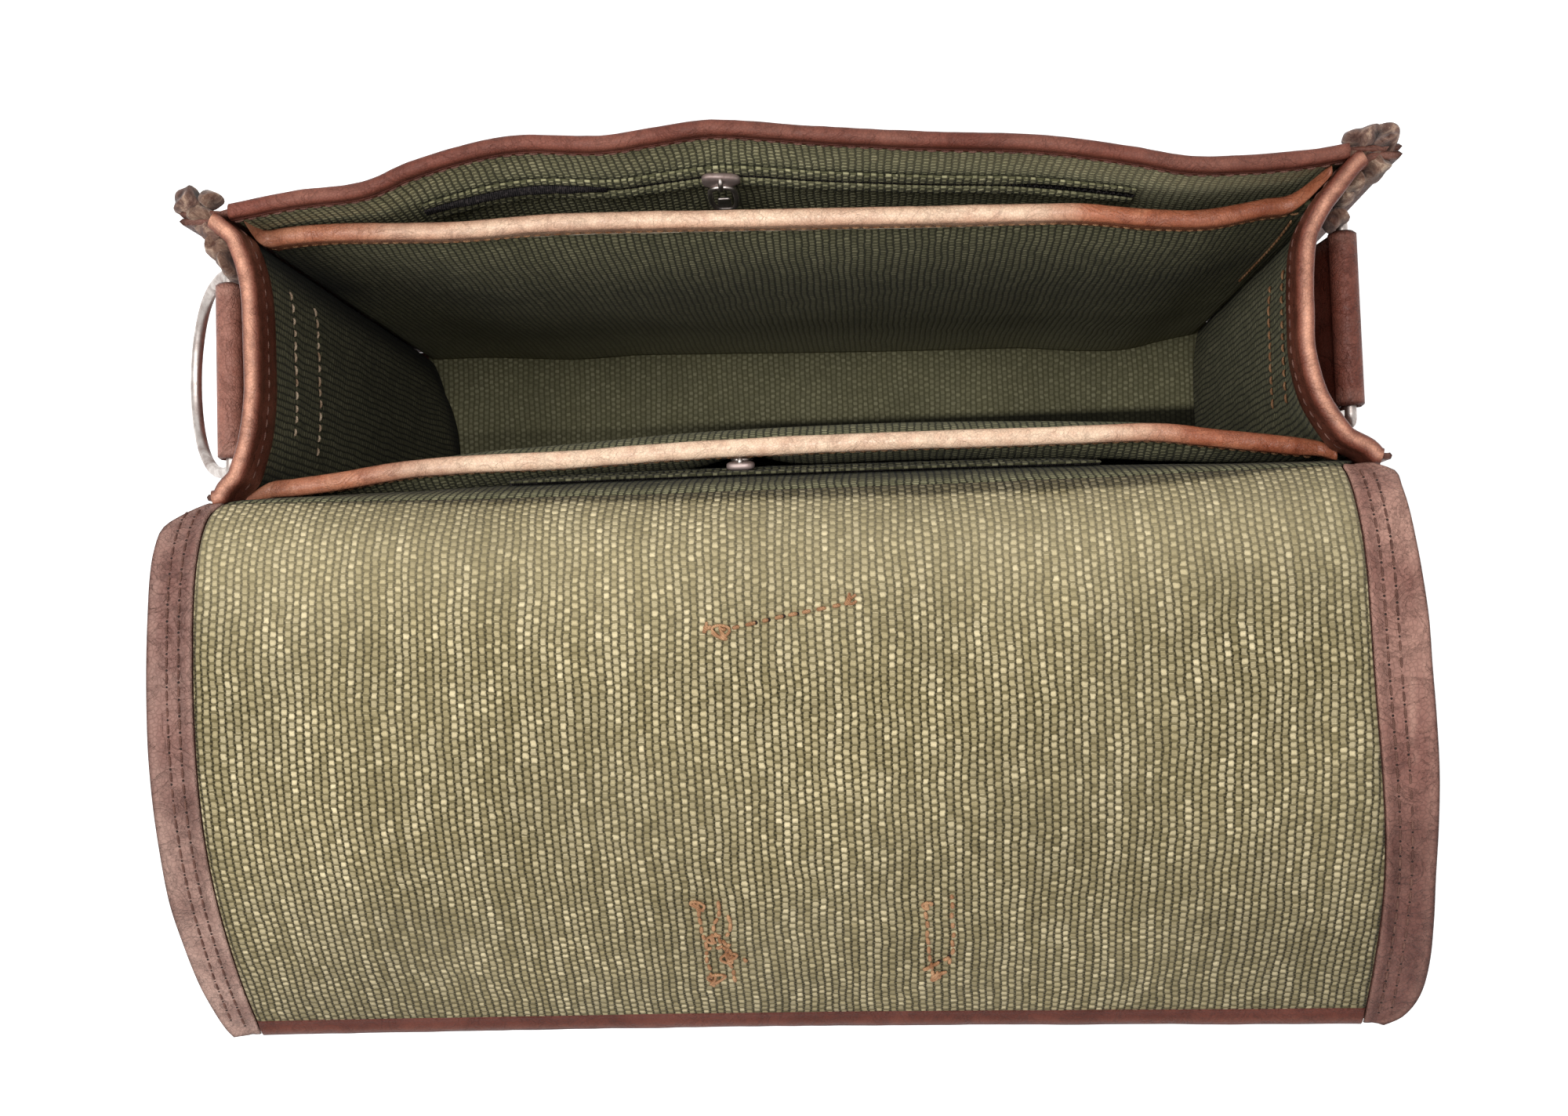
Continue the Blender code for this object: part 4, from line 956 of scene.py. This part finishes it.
for word, column, ends_to in (
        ("front", 1, ((-0.1844, 0.0492, 0.264), (0.1824, 0.0486, 0.266))),
        ("back", 2, ((-0.1906, -0.0508, 0.258), (0.1824, -0.0451, 0.255)))):
    table = []
    for k, row in enumerate(DIVIDER_FALL):
        z = LINING_FOOT if k == 0 else row[0]
        fall = float(through(DIVIDER_FALL, column, z))
        line = []
        for top in DIVIDER_TOP:
            x = top[0]
            y = top[column] + fall * max(0.0, 1.0 - (abs(x) / 0.186) ** 3)
            end = float(gusset_x(math.copysign(1, x), y, z))
            reach = abs(end) - LINING - POCKET_END - DIVIDER_T * 0.4
            line.append((x * reach / 0.186, y, z))
        table.append(line)
    wall, _ = refine(table, 0.0036, 0)
    wall, _ = refine(wall, 0.0030, 1)
    lift = np.maximum(0.0, 0.00015 + 0.00025 * ripple(wall, 30.0, 24.0 + column))
    lift *= bound((0.238 - wall[..., 2]) / 0.02)
    if word == "back":
        along = np.abs(wall[..., 0])
        window = bound((0.182 - along) / 0.055) ** 0.8
        window *= 1.0 - 0.36 * near(wall[..., 0], -0.018, 0.013)
        lift += 0.0112 * window * through(BACK_BULGE, 1, wall[..., 2])
    # painted shade: the front divider a little darker all over, and a painted shadow in the upper part of
    # the left corner
    tone = (0.16 if word == "front" else 0.0) + 0.55 * bound(
        (-wall[..., 0] - 0.163) / 0.016) * bound((wall[..., 2] - 0.12) / 0.05)
    # darker in a band round the front divider's middle height
    dirt_and_painted_shade = tone + 0.16 * near(wall[..., 2], 0.165, 0.040) * (1 if word == "front" else 0)
    divider_walls[word] = sheet(
        f"divider_{word}_canvas", wall, away(wall, -FORE), -DIVIDER_T / 2, DIVIDER_T / 2,
        "wall_canvas", ["divider_" + word], "canvas_inside", True,
        {"dirt_and_painted_shade": bound(dirt_and_painted_shade + 0.05 * ripple(wall, 18.0, 25.0), 0.0, 0.9),
         # painted light: the front divider paler towards its foot
         "wear_and_highlight": (0.50 if word == "front" else 0.0) * bound((0.170 - wall[..., 2]) / 0.12)},
        lift)
    edge_line = wall[-1][1:-1]
    divider_edges[word], divider_ends[word] = edge_line, wall[:, -3]
    raw_lip(word, edge_line)
    roll_line = refined_line([ends_to[0], *edge_line[::3], ends_to[1]], 0.0030)

    def wear_and_light_along(p, word=word):
        x = p[..., 0]
        pale = bound((x + 0.160) / 0.06) * bound((0.104 - x) / 0.022)
        if word == "back":
            pale = bound((x + 0.150) / 0.07) * bound((0.135 - x) / 0.05)
        # the back roll's pale centre is real wear plus painted light that makes up for its shade
        most = 1.70 if word == "back" else 0.84
        return (0.10 * (x < 0.10) + most * pale) * (1.0 + 0.30 * ripple(p, 45.0, 26.0))

    rim(f"divider_{word}_roll", divider_at(roll_line), -DIVIDER_T / 2, DIVIDER_T / 2, 0.0075,
        0.0075, 0.0012, 0.0026, "divider_rim", [f"divider_{word}_binding"], "leather_tan", wear_and_light_along,
        27.0 + column, (0.0008, 0.0007), 0.45, 3, (0.55, 7))


# Side tabs and rings
def tab_grid(side, middle_y, half_w, loop_x):
    inner = GAP + TAB_T / 2 + 0.0003
    outer = inner + TAB_T + GAP
    radius = LOOP_R + TAB_T / 2
    lines = []
    for y in np.linspace(middle_y - half_w, middle_y + half_w, 34):
        wall = [(abs(float(gusset_x(side, y, z))) + HIDE, z) for z in TAB_ROWS]
        line = [(x + inner, z) for x, z in wall]
        for k in range(10):
            angle = math.radians(215 - 290 * k / 9)
            line.append((loop_x + math.cos(angle) * radius, LOOP_Z + math.sin(angle) * radius))
        line += [(x + outer, z) for x, z in reversed(wall)]
        lines.append([(side * x, y, z) for x, z in line])
    return refine(lines, 0.0011, 1)[0]


def ring_path(side, middle_y, loop_x, swing):
    corner = 0.0028
    outline = [(y, 0.0) for y in np.linspace(-RING_HALF_W + corner, RING_HALF_W - corner, 26)]
    for k in range(1, 5):
        angle = math.pi / 2 * k / 5
        outline.append((RING_HALF_W - corner + corner * math.sin(angle), corner * (1 - math.cos(angle))))
    for k in range(0, 49):
        angle = math.pi * k / 48
        outline.append((RING_HALF_W * math.cos(angle),
                        corner + (RING_DROP - corner) * math.sin(angle) ** 0.8))
    for k in range(4, 0, -1):
        angle = math.pi / 2 * k / 5
        outline.append((-RING_HALF_W + corner - corner * math.sin(angle), corner * (1 - math.cos(angle))))
    lean = math.radians(swing)
    down = np.array([side * math.sin(lean), 0.0, -math.cos(lean)])
    axis = np.array([side * loop_x, middle_y, LOOP_Z])
    return np.array([axis + FORE * y + down * d for y, d in outline])


tabs = []
for side, word, middle_y, half_w, loop_x, swing in (
        (-1, "left", -0.0010, 0.0310, 0.1960, 38.0), (1, "right", 0.0020, 0.0300, 0.1900, 7.0)):
    grid = tab_grid(side, middle_y, half_w, loop_x)
    ways = normals(grid, (-side, 0.0, 0.0))
    ways = ways if ways[17, 3] @ np.array([side, 0, 0]) > 0 else -ways
    half = grid.shape[1] // 2
    sign = 1.0 if (ways[17, half] @ UP) > 0 else -1.0
    ways = ways * sign
    run_on = lengths(grid, 0)
    edge = np.minimum(run_on, run_on[-1] - run_on)[:, None] + np.zeros(grid.shape[:2])
    # painted highlight along the top of the loop's fold, stronger on the left tab
    crest_highlight = near(grid[..., 2], LOOP_Z + 0.004, 0.004)
    # painted shade: the right tab darker all over; both tabs darker along their edges
    sheet("tab_strap_" + word, grid, ways, -TAB_T / 2, TAB_T / 2, "tab", ["side_tab_" + word],
          "leather_tab", False,
          {"dirt_and_painted_shade": (0.45 if side > 0 else 0.0) + 0.5 * near(edge, 0.0, 0.0012),
           "wear_and_highlight": bound((0.5 if side < 0 else 0.15) * crest_highlight + 0.3 * near(edge, 0.003, 0.002))})
    tabs.append((side, grid, ways))
    path = ring_path(side, middle_y, loop_x, swing)
    rings = tube_rings(path, RING_WIRE_R, 16, closed=True)
    sweep("d_ring_" + word, rings, "nickel", ["ring_" + word], "nickel", closed=True,
          body=word + "_ring")


# Zips
def soft_power(values, power):
    return np.sign(values) * np.abs(values) ** power


def pebble(name, centre, axes, size, look, power, replaces=(), dent=None):
    """A rounded block on three unit axes, its corners softer the larger the power."""
    rows, around = 15, 28
    lat = np.linspace(-math.pi / 2, math.pi / 2, rows)[:, None]
    lon = circle(around)[None, :]
    girth = np.cos(lat) ** power
    shape = (girth * soft_power(np.cos(lon), power), girth * soft_power(np.sin(lon), power),
             soft_power(np.sin(lat), power) + 0.0 * lon)
    if dent is not None:
        shape = dent(*shape)
    points = np.asarray(centre) + sum(axis * (value * width / 2)[..., None]
                                      for axis, value, width in zip(axes, shape, size))
    faces = ring_faces(rows, around, capped=False)
    return piece(name, points.reshape(-1, 3), faces, look, replaces, "nickel")


def zip_on(word, face, facing, middle_z, rise, x_from, x_to, slider_x, bare):
    """A zip on a lining: tape, coil, canvas lips over its edges, slider and pull.

    bare leaves the tape's upper half open and puffs it up. Returns the lips.
    """
    places = np.arange(x_from, x_to, 0.0026)
    height = middle_z + rise * (places / 0.12) ** 2
    low = LINING + 2 * GAP
    # painted shade: the back zip's bands darker, as they lie in the shaded strip below the hinge
    zip_dirt_and_shade = 0.12 if bare else 0.68
    wear_and_highlight = 0.12 if bare else 0.0

    def band(name, from_z, to_z, off, thick, look, slot, replaces=(), rows=5, lift=0.0, seed=0.0,
             up_to=1.0):
        here = places <= up_to
        share = np.linspace(0.0, 1.0, rows)[:, None]
        from_z, to_z = (edge[here] if isinstance(edge, np.ndarray) else edge for edge in (from_z, to_z))
        z = height[here] + from_z * (1.0 - share) + to_z * share
        x = places[here] + np.zeros_like(z)
        grid = np.stack([x, face(x, z), z], -1)
        arch = lift * np.sin(math.pi * share) * np.ones_like(z)
        arch += np.abs(0.5 * lift * ripple(grid, 120.0, seed))
        arch *= bound(ends_of(z.shape[1]) / 6)
        outer = 0.5 - 0.5 * np.sign(np.mean(from_z + to_z))
        floats = {"wear_and_highlight": wear_and_highlight * near(share, outer, 0.2) * np.ones_like(z),
                  "dirt_and_painted_shade": zip_dirt_and_shade + np.zeros_like(z)}
        return sheet(name, grid, away(grid, (0, facing, 0)), off, off + thick, look, replaces, slot,
                     True, floats, arch)

    band("zip_tape_" + word, -ZIP_H / 2, ZIP_H / 2, low, 0.0007, "tape", "zip_tape",
         ["zip_band_" + word])
    slit = np.full(places.shape, 0.0013)
    upper = np.full(places.shape, 0.0036)
    if bare:
        open_left = bound((-0.060 - places) / 0.010)
        open_right = bound((places - 0.074) / 0.016)
        slit = 0.0009 + 0.0012 * open_left + 0.0016 * open_right
        upper = 0.0009 + 0.0026 * open_left + 0.0024 * open_right
    outside = np.full(places.shape, ZIP_H * 0.95)
    lips = [band(f"zip_lip_{part}_{word}", from_z, to_z, low + 0.0009, 0.0007, "inner_canvas",
                 "canvas_inside", (), 6, lift, seed)
            for part, from_z, to_z, lift, seed in (("low", -outside, -slit, 0.0007, 31.0),
                                                   ("high", upper, outside, 0.0004, 32.0))]
    if bare:
        band(f"zip_puff_{word}", -0.0010, 0.0034, low + 0.0012, 0.0009, "tape", "zip_tape", (),
             8, 0.0013, 33.0, -0.062)
    teeth = np.arange(x_from + 0.002, x_to - 0.002, 0.0012)
    at = middle_z + rise * (teeth / 0.12) ** 2
    way = FORE * facing
    centre = np.stack([teeth, face(teeth, at), at], -1) + way * (low + 0.0011)
    half = UP * 0.0011 + np.where(np.arange(len(teeth)) % 2 == 0, 0.0006, -0.0006)[:, None] * (1, 0, 0)
    coil = marks(centre - half, centre + half, away(centre, way), 0.00042, 0.4)
    piece("zip_coil_" + word, *coil, "tape", slot="zip_tape")

    z = middle_z + rise * (slider_x / 0.12) ** 2
    tilt = float(face(slider_x, z + 0.004) - face(slider_x, z - 0.004)) / 0.008
    turn = float(face(slider_x + 0.005, z) - face(slider_x - 0.005, z)) / 0.010
    out = unit(np.array([-turn * facing, facing, -tilt * facing]))
    down = unit(np.array([0.0, -tilt, -1.0]))
    aside = unit(np.cross(out, down))
    base = np.array([slider_x, float(face(slider_x, z)), z]) + out * (low + ZIP_T + GAP + 0.0019)
    body = (0.0138, 0.0084, 0.0032) if bare else (0.0098, 0.0072, 0.0032)
    pebble("zip_slider_body_" + word, base - out * 0.0004, (aside, down, out), body, "slider", 0.62,
           ["zip_slider_" + word], lambda a, b, c: (a, b * (1.0 - 0.22 * a), c))
    bridge = refined_line([base + down * y + out * h for y, h in BRIDGE], 0.0004)
    sweep("zip_bridge_" + word, tube_rings(bridge, 0.0009), "nickel", slot="nickel")
    hang = base + down * 0.0024 + out * 0.0016
    angles = circle(44)[:, None]
    outline = (hang + aside * (0.0046 if bare else 0.0030) * soft_power(np.cos(angles), 0.62)
               + down * (0.0088 + 0.0093 * soft_power(np.sin(angles), 0.62)))
    sweep("zip_pull_ring_" + word, tube_rings(outline, 0.00095, closed=True), "nickel",
          ["zip_pull_" + word], "nickel", closed=True)
    pebble("zip_pull_plate_" + word, hang + down * 0.0128, (aside, down, out),
           (0.0050, 0.0078, 0.0012), "nickel", 0.35)
    return lips


lips = {"front": zip_on("front", front_y, -1, 0.2360, 0.0012, -0.128, 0.124, -0.0225, True),
        "back": zip_on("back", back_y, 1, 0.2440, 0.0, -0.098, 0.106, -0.0180, False)}


# Torn corners of the side seams
def lump(name, centre, half, turn, seed, look):
    """A crumpled wad of torn leather, its half sizes turned about Z by an angle in degrees."""
    rows, around = 30, 40
    lat = np.linspace(-math.pi / 2, math.pi / 2, rows)[1:-1, None]
    lon = np.linspace(0.0, 2 * math.pi, around, endpoint=False)[None, :]
    ball = np.stack([np.cos(lat) * np.cos(lon), np.cos(lat) * np.sin(lon),
                     np.sin(lat) + 0.0 * lon], -1)
    ball = np.sign(ball) * np.abs(ball) ** 0.85
    c, s = math.cos(math.radians(turn)), math.sin(math.radians(turn))
    shape = ball * np.asarray(half)
    shape = np.stack([shape[..., 0] * c - shape[..., 1] * s, shape[..., 0] * s + shape[..., 1] * c,
                      shape[..., 2]], -1)
    points = shape + np.asarray(centre)
    folds = 1.0 - 3.0 * np.abs(ripple(points * (1.0, 1.0, 0.30), 170.0, seed))
    size = 1.0 + 0.22 * folds + 0.06 * ripple(points, 430.0, seed + 3.0)
    rings = np.asarray(centre) + shape * size[..., None]
    # painted shade in the hollows between the folds
    dirt_and_painted_shade = bound(0.10 - 0.75 * folds, 0.0, 0.7)
    return sweep(name, rings, look, floats={"wear_and_highlight": np.zeros(size.shape), "dirt_and_painted_shade": dirt_and_painted_shade})


for number, (centre, half, turn, look) in enumerate((
        ((-0.2020, 0.0545, 0.2655), (0.0052, 0.0040, 0.0062), 25, "rind"),
        ((-0.1952, 0.0550, 0.2668), (0.0038, 0.0030, 0.0045), -20, "suede"),
        ((-0.1992, 0.0492, 0.2645), (0.0062, 0.0044, 0.0062), -35, "suede"),
        ((-0.1950, 0.0452, 0.2625), (0.0056, 0.0046, 0.0060), -40, "rind"),
        ((-0.1940, 0.0400, 0.2600), (0.0040, 0.0050, 0.0072), 35, "suede"),
        ((-0.1918, 0.0345, 0.2575), (0.0032, 0.0056, 0.0085), 30, "suede"),
        ((0.1935, 0.0588, 0.2655), (0.0058, 0.0036, 0.0058), 8, "rind"),
        ((0.2000, 0.0570, 0.2660), (0.0036, 0.0052, 0.0062), -12, "rind"),
        ((0.1915, 0.0535, 0.2650), (0.0046, 0.0030, 0.0048), 25, "suede"),
        ((0.1970, 0.0500, 0.2620), (0.0044, 0.0048, 0.0070), 15, "suede"),
        ((0.1905, 0.0452, 0.2600), (0.0050, 0.0034, 0.0070), 30, "suede"),
        ((0.1874, 0.0414, 0.2562), (0.0040, 0.0028, 0.0062), 28, "suede"),
        ((0.1862, 0.0350, 0.2520), (0.0040, 0.0030, 0.0066), 25, "suede"))):
    lump(f"corner_wad_{number + 1:02d}", centre, half, turn, 41.0 + number, look)


# Stitching
def on_strip(part, ways, inner_at, inner, height):
    """A line along a strip at a distance from its inner edge, lifted off it."""
    line, way = [], []
    for points, normal, offs in zip(part, ways, inner):
        order = np.argsort(offs)
        for made, values in ((line, points + normal * height), (way, normal)):
            made.append([np.interp(inner_at, offs[order], values[order, k]) for k in range(3)])
    return np.array(line), unit(np.array(way))


margin_runs = []
for part, ways, inner in margins:
    for at, start in ((0.0042, 0.0), (0.0080, 0.0021)):
        line, way = on_strip(part[2:-3], ways[2:-3], at, inner[2:-3], STRIP_HIGH)
        margin_runs.append(paced(line, way, 0.0053, 0.66, 0.00012, start))
stitched("margin_stitches", margin_runs, 0.00042, arch=0.35)
starts, ends, ways = (np.concatenate(part) for part in zip(*margin_runs))
holes("margin_holes", ends + unit(ends - starts) * 0.0008, ways, 0.00042)

line, way = hem[len(hem) // 2], hem_in[len(hem) // 2]
stitched("hem_stitches", [paced(line + way * STRIP_HIGH, way, 0.0050, 0.66)], 0.0004, arch=0.35)

for word, edge_line in divider_edges.items():
    for face, way in (("near", -FORE), ("far", FORE)):
        line = edge_line - UP * 0.0056 + way * (DIVIDER_T / 2 + 0.0014)
        stitched(f"divider_{word}_stitches_{face}", [paced(line, away(line, way), 0.0036, 0.72)],
                 0.00042, "thread", 0.45)

for word, (path, ways, first, final) in gussets.items():
    for face, sign, depth, off in (("in", -1, 0.0070, LINING + 0.0012), ("out", 1, 0.0080, HIDE + 0.0012)):
        line = row_at(path, BAG_H - depth)[first + 1:final]
        way = unit(ways[-1, first + 1:final]) * sign
        stitched(f"gusset_rim_stitches_{word}_{face}", [paced(line + way * off, way, 0.0045)], 0.00042)

for face, way, depth, off in (("in", -FORE, 0.0030, LINING + 0.0009), ("out", FORE, 0.0085, HIDE + 0.0007)):
    line = front_at(rim_x)(depth)[0] + way * off
    stitched("front_rim_stitches_" + face, [paced(line, away(line, way), 0.0045)], 0.00042)

seam_runs = []
z = np.linspace(0.004, 0.262, 120)
for side, (path, ways, first, final) in zip((-1, 1), gussets.values()):
    x = np.full_like(z, side * (HALF_W + 0.0095))
    line = np.stack([x, front_y(x, z) + HIDE, z], -1)
    seam_runs.append(paced(line, away(line, FORE), 0.0050))
    for column in (3, -4):
        line = path[2:-4, column] + ways[2:-4, column] * HIDE
        seam_runs.append(paced(line, ways[2:-4, column], 0.0050))
    line = np.stack([x, back_y(x, z) - HIDE, z], -1)[:-6]
    seam_runs.append(paced(line, away(line, -FORE), 0.0050))
stitched("side_seam_stitches", seam_runs, 0.00048)

tab_runs = []
for side, grid, ways in tabs:
    sample = int(np.argmin(np.abs(grid[17, -14:, 2] - 0.212))) - 14
    lines = [(slice(2, -2), column, (17, column)) for column in (-3, sample)]
    lines += [(row, slice(sample, -3), (row, -5)) for row in (2, -3)]
    for row, column, probe in lines:
        way = ways[row, column] * (1.0 if ways[probe][0] * side > 0 else -1.0)
        tab_runs.append(paced(grid[row, column] + way * TAB_T / 2, way, 0.0048))
stitched("tab_stitches", tab_runs, 0.00050)


def flap_point(x, s, height=LINING + 0.0006):
    """A place on the flap's canvas, s along it from the hinge, and the way off it."""
    i = int(bound(np.searchsorted(flap_run_on, s), 1, len(flap_run_on) - 1))
    t = (s - flap_run_on[i - 1]) / (flap_run_on[i] - flap_run_on[i - 1])
    line, way = (values[hinge + i - 1] * (1 - t) + values[hinge + i] * t for values in (back, back_in))
    point, way = (np.array([np.interp(x, line[:, 0], values[:, k]) for k in range(3)])
                  for values in (line, way))
    return point + unit(way) * height, unit(way)


def flap_s(y):
    """How far along the flap's middle a place with that Y lies."""
    return float(np.interp(-y, -back[hinge:, columns // 2, 1], flap_run_on))


def flap_run(knots, pitch, share=0.75, jitter=0.0004, wander=0.0):
    """Stitches through the flap's lining along a line of knots, each an X and a Y."""
    places = [(x, flap_s(y)) for x, y in knots]
    points, ways = [], []
    for (x0, s0), (x1, s1) in zip(places, places[1:]):
        for t in np.linspace(0.0, 1.0, 8):
            x = x0 + (x1 - x0) * t + RANDOM.normal(0.0, wander)
            s = s0 + (s1 - s0) * t + RANDOM.normal(0.0, wander)
            point, way = flap_point(x, s)
            points.append(point)
            ways.append(way)
    return paced(np.array(points), np.array(ways), pitch, share, jitter)


flap_run_on = lengths(back, 0)[hinge:] - lengths(back, 0)[hinge]
top = [flap_run(((-0.0290, -0.0965), (-0.0215, -0.0978), (-0.0025, -0.0940), (0.0190, -0.0905)),
                0.0046, 0.62, 0.0003)]
low = [
    flap_run(((-0.0360, -0.1850), (-0.0335, -0.2000), (-0.0325, -0.2170), (-0.0335, -0.2130)),
             0.0038, wander=0.0004),
    flap_run(((-0.0275, -0.1850), (-0.0300, -0.1960), (-0.0250, -0.2060), (-0.0190, -0.2070)),
             0.0036, 0.8, wander=0.0005),
    flap_run(((-0.0245, -0.1900), (-0.0270, -0.2040), (-0.0245, -0.2160)), 0.0040, 0.75, 0.0005, 0.0005),
    flap_run(((-0.0350, -0.2030), (-0.0240, -0.2010)), 0.0040, 0.8, wander=0.0006),
    flap_run(((0.0400, -0.1870), (0.0405, -0.2000), (0.0420, -0.2140), (0.0450, -0.2150)),
             0.0040, 0.75, 0.0003, 0.0003),
    flap_run(((0.0480, -0.1830), (0.0490, -0.1990), (0.0475, -0.2110)), 0.0044, 0.6, wander=0.0003),
    flap_run(((0.0385, -0.2120), (0.0480, -0.2070)), 0.0040, 0.7, wander=0.0004),
]
stitched("flap_stitches_top", top, 0.00068, "thread")
stitched("flap_stitches_low", low, 0.00070, "thread")
starts, ends, ways = (np.concatenate(part) for part in zip(*top, *low))
holes("flap_needle_holes", ends - ways * 0.0004, ways, 0.00075)


def tangle(name, middle_x, middle_y, size, turns, seed):
    """A short knotted end of thread lying on the flap's canvas."""
    middle_s = flap_s(middle_y)
    points = []
    for k in range(turns * 9):
        t = k / 9.0
        x = middle_x + size * 0.5 * math.sin(2.1 * t + seed) * (0.5 + 0.5 * math.sin(0.9 * t + seed))
        s = middle_s + size * 0.35 * math.cos(1.7 * t + 2 * seed)
        point, way = flap_point(x, s, LINING + 0.0007)
        points.append(point + way * (0.00045 * abs(math.sin(1.3 * t + seed))))
    sweep("thread_end_" + name, tube_rings(refined_line(points, 0.0006), 0.00050, 7), "thread")


for name, middle_x, middle_y, size, turns, seed in (
        ("top_left", -0.0225, -0.0985, 0.0062, 8, 0.4), ("top_left_b", -0.0270, -0.0968, 0.0040, 5, 2.2),
        ("top_right", 0.0185, -0.0893, 0.0046, 6, 1.9), ("low_left", -0.0315, -0.2140, 0.0070, 8, 2.7),
        ("low_left_b", -0.0345, -0.1865, 0.0052, 6, 5.1), ("low_left_c", -0.0262, -0.2060, 0.0062, 7, 4.3),
        ("low_left_d", -0.0310, -0.1985, 0.0052, 6, 1.1), ("low_right", 0.0435, -0.2140, 0.0058, 7, 3.3),
        ("low_right_b", 0.0402, -0.1880, 0.0036, 5, 0.9)):
    tangle(name, middle_x, middle_y, size, turns, seed)


def lining_run(word, z, low_y, high_y):
    """Stitches through a gusset's lining at a height, from one place across it to another."""
    path, ways = gussets[word][:2]
    row, way = row_at(path, z), -ways[int(z / BAG_H * (len(ways) - 1))]
    keep = (row[:, 1] > low_y) & (row[:, 1] < high_y)
    line = row[keep] + way[keep] * (LINING + 0.0007)
    line[:, 2] += RANDOM.normal(0.0, 0.0004, len(line))
    return paced(line, way[keep], 0.0046, 0.7, 0.0003)


for word, look in (("left", "pale_thread"), ("right", "thread")):
    stitched("lining_stitches_" + word, [lining_run(word, *row) for row in LINING_SEAMS[word]], 0.0005,
             look, 0.6)
wall = divider_ends["front"]
line = wall[(wall[:, 2] > 0.130) & (wall[:, 2] < 0.232)] - FORE * (DIVIDER_T / 2 + 0.0004)
stitched("divider_end_seam", [paced(line, away(line, -FORE), 0.0045, 0.85, 0.0002)], 0.0005, "thread", 0.6)

# Loops over the walls' names, which do nothing
for word in ("left", "right"):
    "gusset_leather_" + word
for word in ("front", "back"):
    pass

# Camera, lights and floor
floor_mesh = bpy.data.meshes.new("floor")
floor_mesh.from_pydata([(-6, -6, 0), (6, -6, 0), (6, 6, 0), (-6, 6, 0)], [], [(0, 1, 2, 3)])
pale, where = new_material("pale_floor", Roughness=0.9, Specular_IOR_Level=0.1,
                           Emission_Color=(1.0, 1.0, 1.0, 1.0), Emission_Strength=0.28)
dust = ranged(cloud(where, 3.0), 0.3, 0.7, 0.88, 0.92)
floor_mesh.materials.append(finished(pale, node(where.tree, "CombineColor", {0: dust, 1: dust, 2: dust})))
floor = bpy.data.objects.new("floor", floor_mesh)
floor.location.z = -0.0004
bpy.context.scene.collection.objects.link(floor)
floor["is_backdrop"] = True

world = bpy.data.worlds.new("studio")
world.use_nodes = True
world.node_tree.nodes["Background"].inputs["Color"].default_value = (1.0, 1.0, 1.0, 1.0)
world.node_tree.nodes["Background"].inputs["Strength"].default_value = 0.775
bpy.context.scene.world = world
for name, place, size, power in (("key", (-0.75, -0.10, 1.55), 0.7, 9.0),
                                 ("overhead", (-0.02, 0.10, 1.75), 0.36, 9.0)):
    light = bpy.data.lights.new(name, "AREA")
    light.size = size
    light.energy = power
    lamp = bpy.data.objects.new(name, light)
    lamp.location = place
    lamp.rotation_euler = (Vector((0.0, 0.0, 0.2)) - Vector(place)).to_track_quat("-Z", "Y").to_euler()
    bpy.context.scene.collection.objects.link(lamp)

camera_data = bpy.data.cameras.new("camera")
camera_data.lens = 40.05
camera_data.sensor_width = 36.0
camera_data.clip_start = 0.02
camera = bpy.data.objects.new("camera", camera_data)
camera.location = (0.03304, -0.02458, 0.84354)
camera.rotation_euler = Euler((0.05472, 0.04891, -0.03078), "XYZ")
bpy.context.scene.collection.objects.link(camera)
bpy.context.scene.camera = camera
bpy.context.scene.view_settings.view_transform = "Standard"
bpy.context.scene.view_settings.look = "None"

low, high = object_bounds()
